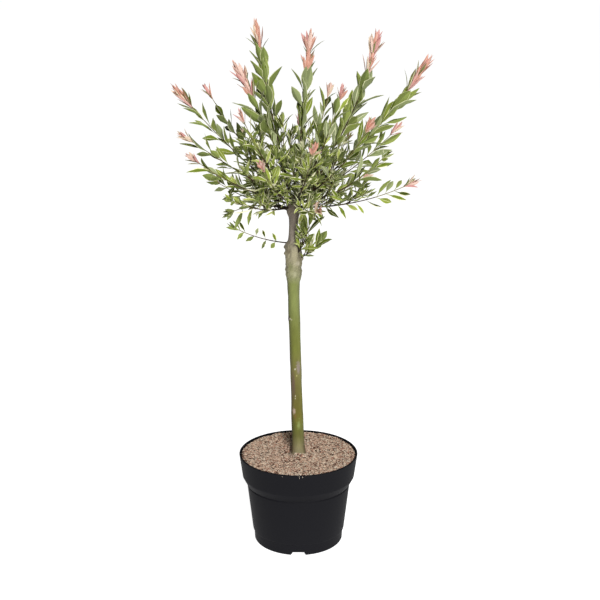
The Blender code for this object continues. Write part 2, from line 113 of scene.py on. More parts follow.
@dataclass(frozen=True)
class Dress:
    """How a stem is dressed with leaves from its foot to its tip.

    spacing is the distance from pair to pair of leaves. length and width are those of a full leaf,
    and least is a leaf's size at the stem's foot as a share of that. opening is the angle between
    leaf and stem in degrees, at the foot and at the tip. greens are the shares of GREEN_TINTS.
    twigs side twigs leave the stem below the share twig_end of its length. ring leaves stand at
    each place. If flat, they stand above and below the stem, turned broadside.
    """

    spacing: float
    length: float
    width: float
    least: float
    opening: tuple[float, float]
    greens: tuple[float, ...]
    twigs: int = 0
    twig_end: float = 0.0
    ring: int = 2
    flat: bool = False


class Habit(Enum):
    """The ways in which shoots and side twigs are dressed."""

    TALL = Dress(0.0165, 0.042, 0.0124, 0.42, (38.0, 15.0), (0.12, 0.28, 0.26, 0.02, 0.32, 0.00), 3, 0.34, 4)
    AIRY = Dress(0.0122, 0.034, 0.0098, 0.42, (44.0, 20.0), (0.20, 0.30, 0.26, 0.04, 0.20, 0.00), 4, 0.40)
    FRONT = Dress(0.0104, 0.029, 0.0062, 0.60, (48.0, 28.0), (0.22, 0.24, 0.26, 0.16, 0.02, 0.10), 5, 0.50)
    LOW = Dress(0.0150, 0.028, 0.0078, 0.82, (60.0, 46.0), (0.22, 0.34, 0.26, 0.04, 0.14, 0.00), 5, 0.40, 2, True)
    SPRAY = Dress(0.0080, 0.028, 0.0086, 0.75, (54.0, 34.0), (0.12, 0.34, 0.34, 0.12, 0.08, 0.00), 4, 0.55)
    WISP = Dress(0.0145, 0.0165, 0.0070, 0.90, (74.0, 56.0), (0.30, 0.44, 0.20, 0.00, 0.06, 0.00), 0, 0.0, 2, True)
    SIDE = Dress(0.0100, 0.026, 0.0056, 0.62, (46.0, 28.0), (0.22, 0.26, 0.24, 0.14, 0.02, 0.12))
    INNER = Dress(0.0092, 0.0245, 0.0050, 0.64, (46.0, 26.0), (0.26, 0.18, 0.22, 0.20, 0.00, 0.14))


@dataclass(frozen=True)
class Bundle:
    """The young leaves that end a stem.

    count leaves of a length and a width have their feet on the stem's last stretch, room. opening
    is the angle to the stem in degrees, of the topmost and the lowest leaf. curl carries their
    tips out, or in if it is negative. thin is how many thin dark leaves stand off below them.
    tiers bundles follow each other at a distance gap.
    """

    count: int
    length: float
    width: float
    room: float
    opening: tuple[float, float]
    curl: tuple[float, float]
    thin: int
    tiers: int = 1
    gap: float = 0.026


class Ending(Enum):
    """The ways in which stems end."""

    PLUME = Bundle(19, 0.0320, 0.0058, 0.021, (2.0, 21.0), (-0.12, 0.05), 2)
    TWIN = Bundle(13, 0.0310, 0.0056, 0.018, (2.0, 26.0), (-0.10, 0.07), 2, tiers=2, gap=0.020)
    FORK = Bundle(12, 0.0310, 0.0060, 0.016, (4.0, 27.0), (-0.06, 0.10), 2, tiers=2, gap=0.025)
    SPEAR = Bundle(12, 0.0320, 0.0062, 0.017, (2.0, 21.0), (-0.14, 0.03), 1, tiers=2, gap=0.019)
    SMALL = Bundle(8, 0.0225, 0.0048, 0.010, (4.0, 26.0), (-0.05, 0.10), 1)
    LUSH = Bundle(7, 0.0440, 0.0128, 0.024, (4.0, 42.0), (-0.05, 0.14), 0)
    LEAFY = Bundle(8, 0.0280, 0.0086, 0.014, (4.0, 50.0), (-0.05, 0.14), 0)
    STREAK = Bundle(4, 0.0190, 0.0030, 0.005, (3.0, 18.0), (-0.05, 0.15), 1)
    BUD = Bundle(6, 0.0180, 0.0050, 0.007, (6.0, 38.0), (-0.05, 0.14), 0)


@dataclass(frozen=True)
class Shoot:
    """One shoot of the crown, told by where its tip lies from its starting point on the trunk.

    azimuth and lean are in degrees, from +X and from straight up. reach is the distance to the tip.
    bow is how far the middle hangs outside the straight line. habit is how it is dressed, ending
    how its young leaves are bundled, and tip their colour. bare is how much stem shows below them.
    """

    name: str
    azimuth: float
    lean: float
    reach: float
    bow: float
    habit: Habit
    ending: Ending
    tip: Tint
    height: float = 0.488
    has_bough: bool = True
    bare: float = 0.0

    def level(self) -> np.ndarray:
        """The level direction that the shoot leans in."""
        turn = math.radians(self.azimuth)
        return np.array((math.cos(turn), math.sin(turn), 0.0))

    def foot(self) -> np.ndarray:
        """The lowest point, inside the knob or on the middle line of the graft union."""
        centre = np.array((-Trunk.lean, 0.0, self.height))
        if not self.has_bough:
            return centre
        rise = Crown.knob_rise * math.cos(math.radians(self.lean))
        return centre + Crown.knob_spread * self.level() + rise * UP

    def line(self, shares: np.ndarray) -> np.ndarray:
        """Points at shares of the arc: a quadratic curve from the foot, bowed outwards, to the tip.

        Args:
            shares: values from 0 at the foot to 1 at the tip.

        Returns:
            One point for each share.
        """
        lean = math.radians(self.lean)
        centre = np.array((-Trunk.lean, 0.0, self.height))
        tip = centre + self.reach * (math.sin(lean) * self.level() + math.cos(lean) * UP)
        outwards = math.cos(lean) * self.level() - math.sin(lean) * UP
        middle = (self.foot() + tip) / 2 + 2 * self.bow * outwards
        shares = np.asarray(shares, float)[:, None]
        return (1 - shares) ** 2 * self.foot() + 2 * shares * (1 - shares) * middle + shares**2 * tip

    def length(self) -> float:
        """The length of the shoot's arc."""
        steps = np.diff(self.line(np.linspace(0, 1, 81)), axis=0)
        return float(np.linalg.norm(steps, axis=1).sum())


SHOOTS = (
    Shoot("low_right", 357, 75, 0.179, 0.012, Habit.LOW, Ending.SMALL, Tint.BLUSH),
    Shoot("low_right_front", 287, 78, 0.128, 0.003, Habit.FRONT, Ending.SMALL, Tint.CREAM),
    Shoot("low_left_front", 222, 73, 0.126, 0.010, Habit.FRONT, Ending.BUD, Tint.FRESH),
    Shoot("low_left", 197, 92, 0.102, -0.012, Habit.LOW, Ending.BUD, Tint.GREY),
    Shoot("low_left_back", 142, 79, 0.160, 0.010, Habit.LOW, Ending.SMALL, Tint.BRONZE),
    Shoot("low_right_back", 45, 77, 0.168, 0.012, Habit.LOW, Ending.SMALL, Tint.CREAM),
    Shoot("mid_right", 26, 57, 0.203, 0.010, Habit.AIRY, Ending.SMALL, Tint.ROSE),
    Shoot("mid_right_front", 326, 57, 0.181, 0.014, Habit.AIRY, Ending.BUD, Tint.FRESH),
    Shoot("mid_front_right", 280, 53, 0.198, 0.012, Habit.FRONT, Ending.SMALL, Tint.SALMON),
    Shoot("mid_front_left", 254, 58, 0.176, 0.010, Habit.FRONT, Ending.SMALL, Tint.BLUSH),
    Shoot("mid_left_front", 212, 60, 0.189, 0.009, Habit.AIRY, Ending.SMALL, Tint.BLUSH),
    Shoot("mid_left", 194, 54, 0.195, 0.002, Habit.AIRY, Ending.SMALL, Tint.CREAM),
    Shoot("mid_left_back", 119, 62, 0.194, 0.010, Habit.LOW, Ending.SMALL, Tint.OLIVE),
    Shoot("mid_back", 87, 56, 0.199, 0.012, Habit.LOW, Ending.SMALL, Tint.BLUSH),
    Shoot("mid_right_back", 60, 63, 0.190, 0.010, Habit.LOW, Ending.SMALL, Tint.BRONZE),
    Shoot("wide_left", 174, 44, 0.237, 0.006, Habit.AIRY, Ending.PLUME, Tint.SALMON),
    Shoot("wide_left_back", 146, 43, 0.223, 0.008, Habit.AIRY, Ending.SMALL, Tint.ROSE, bare=0.014),
    Shoot("wide_right", 3, 41.5, 0.281, 0.013, Habit.TALL, Ending.SPEAR, Tint.SALMON),
    Shoot("wide_right_front", 316, 45, 0.202, 0.014, Habit.AIRY, Ending.SMALL, Tint.SALMON),
    Shoot("wide_right_back", 65, 38, 0.206, 0.008, Habit.AIRY, Ending.SMALL, Tint.BLUSH),
    Shoot("wide_front_left", 236, 39, 0.196, 0.006, Habit.FRONT, Ending.SMALL, Tint.BLUSH),
    Shoot("high_left", 147, 13.5, 0.262, 0.004, Habit.TALL, Ending.PLUME, Tint.SALMON),
    Shoot("high_left_front", 221, 26, 0.232, -0.008, Habit.TALL, Ending.TWIN, Tint.BLUSH),
    Shoot("high_left_back", 108, 40, 0.207, 0.008, Habit.AIRY, Ending.BUD, Tint.OLIVE),
    Shoot("high_middle", 70, 16, 0.250, 0.003, Habit.TALL, Ending.FORK, Tint.SALMON),
    Shoot("high_right", 343, 25, 0.272, 0.018, Habit.TALL, Ending.FORK, Tint.ROSE),
    Shoot("high_right_front", 308, 30, 0.211, 0.010, Habit.AIRY, Ending.SMALL, Tint.ROSE),
    Shoot("union_left", 186, 72, 0.096, 0.006, Habit.WISP, Ending.BUD, Tint.FRESH, 0.442, False),
    Shoot("union_right", 304, 24, 0.098, 0.014, Habit.SPRAY, Ending.LUSH, Tint.FRESH, 0.422, False),
    Shoot("union_right_low", 342, 44, 0.066, 0.008, Habit.SPRAY, Ending.LEAFY, Tint.MID, 0.418, False),
)


def unit(vectors: np.ndarray) -> np.ndarray:
    """The vectors at length one."""
    return vectors / np.linalg.norm(vectors, axis=-1, keepdims=True)


def smooth(value: np.ndarray, low: float, high: float) -> np.ndarray:
    """A soft step from 0 at low to 1 at high."""
    share = np.clip((value - low) / (high - low), 0.0, 1.0)
    return share * share * (3 - 2 * share)


def ripple(places: np.ndarray, scale: float, seed: int, waves: int = 12) -> np.ndarray:
    """Soft noise from -1 to 1: a sum of sine waves that run in random directions.

    Args:
        places: points, with their coordinates on the last axis.
        scale: the length of one wave, in metres.
        seed: picks the directions.
        waves: how many waves are summed.

    Returns:
        One value for each point.
    """
    rng = np.random.default_rng(seed)
    ways = unit(rng.normal(size=(waves, 3))) * rng.uniform(0.7, 1.6, (waves, 1)) * TURN / scale
    total = np.sin(places @ ways.T + rng.uniform(0, TURN, waves)).sum(axis=-1)
    return total / math.sqrt(waves)


def put_mesh(
    name: str,
    points: np.ndarray,
    faces: list[np.ndarray],
    slots: list[np.ndarray],
    materials: list[bpy.types.Material],
    crease: float = 180.0,
    tones: np.ndarray | None = None,
) -> bpy.types.Object:
    """A smooth-shaded object from whole arrays.

    Args:
        name: the object's name.
        points: (count, 3) places.
        faces: arrays of point numbers, one row for each face, all rows of an array of one length.
        slots: the material number of each face, one array for each array of faces.
        materials: the object's materials, in order.
        crease: edges that turn by more than this angle, in degrees, are sharp.
        tones: (count, 3) colours, kept as the attribute "tone", or None.

    Returns:
        The object, which rides on the plant's one body.
    """
    mesh = bpy.data.meshes.new(name)
    mesh.vertices.add(len(points))
    mesh.vertices.foreach_set("co", np.asarray(points, np.float32).ravel())
    corners = np.concatenate([array.ravel() for array in faces]).astype(np.int32)
    sizes = np.concatenate([np.full(len(array), array.shape[1]) for array in faces])
    starts = np.concatenate([[0], np.cumsum(sizes)[:-1]]).astype(np.int32)
    mesh.loops.add(len(corners))
    mesh.loops.foreach_set("vertex_index", corners)
    mesh.polygons.add(len(starts))
    mesh.polygons.foreach_set("loop_start", starts)
    mesh.polygons.foreach_set("material_index", np.concatenate(slots).astype(np.int32))
    mesh.update(calc_edges=True)
    mesh.validate()
    mesh.shade_smooth()
    if crease < 180.0:
        mesh.set_sharp_from_angle(angle=math.radians(crease))
    if tones is not None:
        layer = mesh.color_attributes.new("tone", "FLOAT_COLOR", "POINT")
        layer.data.foreach_set("color", np.pad(tones, ((0, 0), (0, 1)), constant_values=1.0).ravel())
    for material in materials:
        mesh.materials.append(material)
    obj = bpy.data.objects.new(name, mesh)
    bpy.context.scene.collection.objects.link(obj)
    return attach(obj, "root")


def grid_faces(rows: int, columns: int, first: int = 0) -> np.ndarray:
    """Four-sided faces of a grid that closes on itself along its columns.

    Args:
        rows: rings of points.
        columns: points in a ring, which run counter-clockwise as seen from the last row's side.
        first: the number of the first point.

    Returns:
        (faces, 4) point numbers.
    """
    row, column = np.meshgrid(np.arange(rows - 1), np.arange(columns), indexing="ij")
    low = first + row * columns + column
    low_next = first + row * columns + (column + 1) % columns
    return np.stack([low, low_next, low_next + columns, low + columns], axis=-1).reshape(-1, 4)


@dataclass(frozen=True)
class Finish:
    """A plain colour with a fine grain that shows in its gloss and its relief."""

    name: str
    colour: Colour
    roughness: float
    grain: float = 0.002
    relief: float = 0.1
    sheen: float = 0.0
    glow: float = 0.0
    gloss: float = 0.5
    light: float = 0.0

    def material(self) -> bpy.types.Material:
        """Builds the node tree: noise on Object coordinates drives bump and roughness."""
        material = bpy.data.materials.new(self.name)
        material.use_nodes = True
        nodes, links = material.node_tree.nodes, material.node_tree.links
        shader = nodes["Principled BSDF"]
        shader.inputs["Base Color"].default_value = (*self.colour, 1.0)
        shader.inputs["Roughness"].default_value = self.roughness
        shader.inputs["Sheen Weight"].default_value = self.sheen
        shader.inputs["Specular IOR Level"].default_value = self.gloss
        shader.inputs["Emission Color"].default_value = (*self.colour, 1.0)
        shader.inputs["Emission Strength"].default_value = self.light
        shader.inputs["Subsurface Weight"].default_value = self.glow
        shader.inputs["Subsurface Radius"].default_value = (0.004, 0.005, 0.002)
        shader.inputs["Subsurface Scale"].default_value = 0.5
        where = nodes.new("ShaderNodeTexCoord")
        noise = nodes.new("ShaderNodeTexNoise")
        noise.inputs["Scale"].default_value = 1 / self.grain
        noise.inputs["Detail"].default_value = 4.0
        links.new(where.outputs["Object"], noise.inputs["Vector"])
        bump = nodes.new("ShaderNodeBump")
        bump.inputs["Strength"].default_value = self.relief
        bump.inputs["Distance"].default_value = self.grain / 3
        links.new(noise.outputs["Fac"], bump.inputs["Height"])
        links.new(bump.outputs["Normal"], shader.inputs["Normal"])
        spread = nodes.new("ShaderNodeMapRange")
        spread.inputs["To Min"].default_value = max(self.roughness - 0.12, 0.0)
        spread.inputs["To Max"].default_value = min(self.roughness + 0.12, 1.0)
        links.new(noise.outputs["Fac"], spread.inputs["Value"])
        links.new(spread.outputs["Result"], shader.inputs["Roughness"])
        return material


@dataclass(frozen=True)
class BarkFinish:
    """Bark that takes its colours from the attribute "tone", with fine streaks and relief."""

    name: str = "bark"
    roughness: float = 0.60
    gloss: float = 0.16

    def material(self) -> bpy.types.Material:
        """Builds the node tree: upright streaks of noise darken the tone and raise the surface."""
        material = bpy.data.materials.new(self.name)
        material.use_nodes = True
        nodes, links = material.node_tree.nodes, material.node_tree.links
        shader = nodes["Principled BSDF"]
        shader.inputs["Roughness"].default_value = self.roughness
        shader.inputs["Specular IOR Level"].default_value = self.gloss
        where = nodes.new("ShaderNodeTexCoord")
        stretch = nodes.new("ShaderNodeMapping")
        stretch.inputs["Scale"].default_value = (1.0, 1.0, 0.22)
        links.new(where.outputs["Object"], stretch.inputs["Vector"])
        streaks = nodes.new("ShaderNodeTexNoise")
        streaks.inputs["Scale"].default_value = 420.0
        streaks.inputs["Detail"].default_value = 4.0
        links.new(stretch.outputs["Vector"], streaks.inputs["Vector"])
        shade = nodes.new("ShaderNodeMapRange")
        shade.inputs["To Min"].default_value = 0.78
        shade.inputs["To Max"].default_value = 1.20
        links.new(streaks.outputs["Fac"], shade.inputs["Value"])
        tone = nodes.new("ShaderNodeAttribute")
        tone.attribute_name = "tone"
        scaled = nodes.new("ShaderNodeVectorMath")
        scaled.operation = "SCALE"
        links.new(tone.outputs["Color"], scaled.inputs[0])
        links.new(shade.outputs["Result"], scaled.inputs["Scale"])
        links.new(scaled.outputs["Vector"], shader.inputs["Base Color"])
        bump = nodes.new("ShaderNodeBump")
        bump.inputs["Strength"].default_value = 0.4
        bump.inputs["Distance"].default_value = 0.0005
        links.new(streaks.outputs["Fac"], bump.inputs["Height"])
        links.new(bump.outputs["Normal"], shader.inputs["Normal"])
        return material


@dataclass
class Pot:
    """The round nursery pot: rolled rim, flared collar, stepped body, foot with drainage notches."""

    rim_radius: float = 0.085
    height: float = 0.133
    collar_foot_radius: float = 0.0805
    collar_foot_height: float = 0.099
    body_top_radius: float = 0.074
    body_top_height: float = 0.087
    body_foot_radius: float = 0.066
    foot_step_height: float = 0.018
    foot_radius: float = 0.064
    foot_round: float = 0.004
    wall: float = 0.0015
    floor: float = 0.003
    lip: float = 0.0024
    groove: float = 0.0008
    sides: int = 180
    notches: int = 4
    notch_height: float = 0.008
    notch_top: float = 0.014
    notch_foot: float = 0.024
    notch_inner: float = 0.052
    notch_outer: float = 0.076
    finish: Finish = Finish("pot_plastic", (0.0092, 0.0092, 0.0112), 0.62, 0.0011, 0.10, gloss=0.05)

    def profile(self) -> np.ndarray:
        """(radius, height) down the outside and up the inside, with round edges as arcs."""
        rim, top = self.rim_radius, self.height
        angles = np.radians(np.linspace(170, -20, 12))
        half = self.lip / 2
        lip = np.stack([rim - half + half * np.cos(angles), top - half + half * np.sin(angles)], 1)
        shoulder = [
            (self.collar_foot_radius + 0.0002, self.collar_foot_height + 0.002),
            (self.collar_foot_radius, self.collar_foot_height + 0.0006),
            (self.collar_foot_radius - 0.0006, self.collar_foot_height - 0.0004),
            (self.body_top_radius + 0.0010, self.body_top_height + 0.0020),
            (self.body_top_radius - self.groove, self.body_top_height + 0.0006),
            (self.body_top_radius - self.groove, self.body_top_height - 0.0004),
            (self.body_top_radius, self.body_top_height - 0.0012),
        ]
        step = [
            (self.body_foot_radius + 0.0003, self.foot_step_height + 0.0012),
            (self.body_foot_radius, self.foot_step_height),
            (self.foot_radius + 0.0004, self.foot_step_height - 0.0008),
            (self.foot_radius, self.foot_step_height - 0.0018),
        ]
        angles = np.radians(np.linspace(0, -90, 8))
        centre = self.foot_radius - self.foot_round
        foot = np.stack(
            [centre + self.foot_round * np.cos(angles), self.foot_round * (1 + np.sin(angles))], 1
        )
        underside = [(0.7 * centre, 0.0), (0.35 * centre, 0.0)]
        inside = [
            (0.5 * centre, self.floor),
            (self.foot_radius - 2 * self.wall, self.floor),
            (self.body_top_radius - self.wall, self.body_top_height + self.wall),
            (self.collar_foot_radius - self.wall, self.collar_foot_height + self.wall),
            (rim - self.lip, top - self.lip),
        ]
        return np.vstack([lip, shoulder, step, foot, underside, inside])

    def turned(self) -> bpy.types.Object:
        """The wall: the profile turned round Z, x = r cos t, y = r sin t, closed on itself.

        Returns:
            The pot without its notches.
        """
        profile = self.profile()
        rings = len(profile)
        turns = np.arange(self.sides) * TURN / self.sides
        ring = np.stack([np.cos(turns), np.sin(turns)], 1)
        points = np.zeros((rings, self.sides, 3))
        points[..., :2] = profile[:, None, :1] * ring
        points[..., 2] = profile[:, 1:]
        split = int(np.argmin(profile[:, 0] + 10 * (profile[:, 1] > 0.0)))
        outer = grid_faces(split + 1, self.sides)[:, ::-1]
        inner = grid_faces(rings - split - 1, self.sides, (split + 1) * self.sides)[:, ::-1]
        last = (rings - 1) * self.sides + np.arange(self.sides)
        first = np.arange(self.sides)
        seam = np.stack([last, np.roll(last, -1), np.roll(first, -1), first], 1)[:, ::-1]
        count = rings * self.sides
        centres = np.array([(0.0, 0.0, 0.0), (0.0, 0.0, self.floor)])
        low = split * self.sides + np.arange(self.sides)
        high = (split + 1) * self.sides + np.arange(self.sides)
        bottom = np.stack([np.roll(low, -1), low, np.full(self.sides, count)], 1)
        floor = np.stack([high, np.roll(high, -1), np.full(self.sides, count + 1)], 1)
        faces = [np.vstack([outer, inner, seam]), np.vstack([bottom, floor])]
        slots = [np.zeros(len(array), int) for array in faces]
        points = np.vstack([points.reshape(-1, 3), centres])
        return put_mesh("pot_shell", points, faces, slots, [self.finish.material()])

    def notch(self, turn: float) -> bpy.types.Object:
        """A cutter that narrows upwards and runs out through the foot at a turn round Z."""
        foot, top = self.notch_foot / 2, self.notch_top / 2
        low, high = -self.wall, self.notch_height
        outline = [(-foot, low), (foot, low), (top, high), (-top, high)]
        points = [(x, y, z) for y in (-self.notch_inner, -self.notch_outer) for x, z in outline]
        sides = [(1, 5, 4, 0), (2, 6, 5, 1), (3, 7, 6, 2), (0, 4, 7, 3)]
        mesh = bpy.data.meshes.new("notch")
        mesh.from_pydata(points, [], [(3, 2, 1, 0), (4, 5, 6, 7), *sides])
        mesh.transform(Matrix.Rotation(turn, 4, "Z"))
        cutter = bpy.data.objects.new("notch", mesh)
        bpy.context.scene.collection.objects.link(cutter)
        return cutter

    def build(self) -> None:
        """Makes the shell, cuts its notches and lets it stand for the frame's pot."""
        shell = self.turned()
        for number in range(self.notches):
            cutter = self.notch(TURN * number / self.notches)
            cut = shell.modifiers.new("notch", "BOOLEAN")
            cut.operation = "DIFFERENCE"
            cut.solver = "EXACT"
            cut.object = cutter
            bpy.context.view_layer.update()
            mesh = bpy.data.meshes.new_from_object(
                shell.evaluated_get(bpy.context.evaluated_depsgraph_get())
            )
            shell.modifiers.clear()
            shell.data = mesh
            bpy.data.objects.remove(cutter, do_unlink=True)
        shell.data.shade_smooth()
        shell.data.set_sharp_from_angle(angle=math.radians(50))
        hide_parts("pot")
        LOG.info("pot shell: %d faces", len(shell.data.polygons))


@dataclass
class Mulch:
    """Wood-fibre mulch: an uneven bed, and fibres and chips that lie on it."""

    top: float = 0.1298
    radius: float = 0.0822
    rows: int = 60
    columns: int = 144
    fibres: int = 9000
    chips: int = 1300
    rim_fibres: int = 12
    seed: int = 11
    swells: tuple = (
        (-0.018, 0.004, 0.0075, -0.0045),
        (0.021, 0.010, 0.0090, -0.0045),
        (0.006, -0.026, 0.0060, -0.0020),
        (-0.001, -0.013, 0.0110, 0.0045),
    )

    def surface(self, x: np.ndarray, y: np.ndarray) -> np.ndarray:
        """Height of the bed: soft noise, hollows and a mound by the stem, and a rounded border."""
        places = np.stack([x, y, np.zeros_like(x)], -1)
        height = self.top + 0.0007 * ripple(places, 0.020, 3) + 0.0004 * ripple(places, 0.006, 4)
        for left, back, width, rise in self.swells:
            height = height + rise * np.exp(-((x - left) ** 2 + (y - back) ** 2) / width**2)
        edge = np.hypot(x, y) / self.radius
        return height + 0.0012 * smooth(edge, 0.75, 0.97) - 0.0022 * smooth(edge, 0.95, 1.0)

    def bed(self) -> bpy.types.Object:
        """The bed: rings of points from the middle outwards, and a skirt and floor that close it."""
        radii = np.linspace(0.004, self.radius, self.rows)
        turns = np.arange(self.columns) * TURN / self.columns
        x = radii[:, None] * np.cos(turns)
        y = radii[:, None] * np.sin(turns)
        points = np.stack([x, y, self.surface(x, y)], -1)
        skirt = points[-1] * (0.985, 0.985, 0.0) + (0.0, 0.0, self.top - 0.012)
        rings = np.concatenate([points, skirt[None]])
        faces = grid_faces(self.rows + 1, self.columns)[:, ::-1]
        count = (self.rows + 1) * self.columns
        tops = np.arange(self.columns)
        lows = self.rows * self.columns + tops
        centre = np.stack([tops, np.roll(tops, -1), np.full(self.columns, count)], 1)
        base = np.stack([np.roll(lows, -1), lows, np.full(self.columns, count + 1)], 1)
        middles = np.array([(0.0, 0.0, self.top), (0.0, 0.0, self.top - 0.012)])
        finish = Finish("mulch_bed", (0.130, 0.070, 0.045), 0.95, 0.0016, 1.0, gloss=0.1)
        slots = [np.zeros(len(faces), int), np.zeros(2 * self.columns, int)]
        return put_mesh(
            "mulch_bed",
            np.vstack([rings.reshape(-1, 3), middles]),
            [faces, np.vstack([centre, base])],
            slots,
            [finish.material()],
        )

    def scatter(
        self, name: str, count: int, length: tuple, width: tuple, depth: float, lift: float, finishes: list
    ) -> bpy.types.Object:
        """Bent splinters that lie on the bed, each a bar of three rings of four points.

        Args:
            name: the piece's name.
            count: how many there are.
            length: shortest and longest, in metres.
            width: narrowest and widest.
            depth: thickness as a share of the width.
            lift: how steeply they may stand, as a slope.
            finishes: (Finish, share) pairs that they are dealt out of.

        Returns:
            The piece.
        """
        rng = np.random.default_rng(self.seed + count)
        reach = self.radius - 0.0015
        away = reach * np.sqrt(rng.uniform(0.008, 1.0, count))
        turn = rng.uniform(0, TURN, count)
        x, y = away * np.cos(turn), away * np.sin(turn)
        heading = rng.uniform(0, TURN, count)
        slope = rng.normal(0.0, lift, count)
        way = unit(np.stack([np.cos(heading), np.sin(heading), slope], 1))
        across = unit(np.cross(way, UP))
        face = np.cross(across, way)
        roll = rng.uniform(-0.7, 0.7, (count, 1))
        across, face = across * np.cos(roll) + face * np.sin(roll), face * np.cos(roll) - across * np.sin(roll)
        lengths = rng.uniform(*length, (count, 1)) * rng.uniform(0.6, 1.0, (count, 1))
        widths = rng.uniform(*width, (count, 1))
        centre = np.stack([x, y, self.surface(x, y) + 0.0003 + rng.uniform(0, 0.0008, count)], 1)
        bend = rng.normal(0, 0.10, (count, 1)) * lengths
        rings = []
        for share, thick in ((-0.5, 0.45), (0.0, 1.0), (0.5, 0.35)):
            middle = centre + way * lengths * share + across * bend * (1 - 4 * share**2)
            for a, b in ((-1, -1), (1, -1), (1, 1), (-1, 1)):
                rings.append(middle + thick * (across * widths * a + face * widths * depth * b) / 2)
        points = np.stack(rings, 1)
        over = np.hypot(points[..., 0], points[..., 1]) > self.radius
        keep = ~over.any(axis=1)
        points = points[keep]
        count = len(points)
        sides = grid_faces(3, 4)
        caps = np.array([(3, 2, 1, 0), (8, 9, 10, 11)])
        face_set = np.vstack([sides, caps])
        faces = (face_set[None] + 12 * np.arange(count)[:, None, None]).reshape(-1, 4)
        shares = np.array([share for _, share in finishes])
        kinds = rng.choice(len(finishes), count, p=shares / shares.sum())
        slots = np.repeat(kinds, len(face_set))
        materials = [finish.material() for finish, _ in finishes]
        return put_mesh(name, points.reshape(-1, 3), [faces], [slots], materials)

    def over_rim(self, finish: Finish) -> bpy.types.Object:
        """Long thin fibres that hang over the rim at the front."""
        rng = np.random.default_rng(self.seed)
        threads = Tubes(sides=4)
        for _ in range(self.rim_fibres):
            turn = math.radians(rng.normal(-94, 7))
            out = np.array((math.cos(turn), math.sin(turn), 0.0))
            side = np.cross(UP, out) * rng.normal(0, 0.5)
            shares = np.linspace(0, 1, 7)[:, None]
            reach = rng.uniform(0.006, 0.013)
            drop = 0.0045 + reach * rng.uniform(0.2, 0.6) * shares**2
            line = (self.radius - 0.002) * out + (0.0, 0.0, self.top + 0.0088)
            line = line + shares * reach * (0.45 * out + side) - drop * UP
            threads.add(line, np.full(7, 0.00022), 0)
        return threads.put("rim_fibres", [finish.material()])

    def build(self) -> None:
        """Makes the bed and what lies on it, and lets it stand for the frame's soil."""
        bed = self.bed()
        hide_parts("soil")
        straw = Finish("fibre_straw", (0.900, 0.770, 0.610), 0.85, 0.0006, 0.3, gloss=0.1)
        tan = Finish("fibre_tan", (0.700, 0.505, 0.370), 0.88, 0.0006, 0.3, gloss=0.1)
        russet = Finish("fibre_russet", (0.460, 0.260, 0.185), 0.9, 0.0006, 0.3, gloss=0.1)
        umber = Finish("fibre_umber", (0.110, 0.060, 0.040), 0.92, 0.0006, 0.3, gloss=0.1)
        fibres = self.scatter(
            "mulch_fibres",
            self.fibres,
            (0.003, 0.0080),
            (0.0005, 0.0010),
            0.6,
            0.26,
            [(straw, 0.34), (tan, 0.34), (russet, 0.20), (umber, 0.12)],
        )
        chips = self.scatter(
            "mulch_chips",
            self.chips,
            (0.0025, 0.0060),
            (0.0015, 0.0030),
            0.35,
            0.15,
            [(tan, 0.46), (russet, 0.42), (umber, 0.12)],
        )
        for piece in (fibres, chips, self.over_rim(straw)):
            LOG.info("%s: %d faces", piece.name, len(piece.data.polygons))


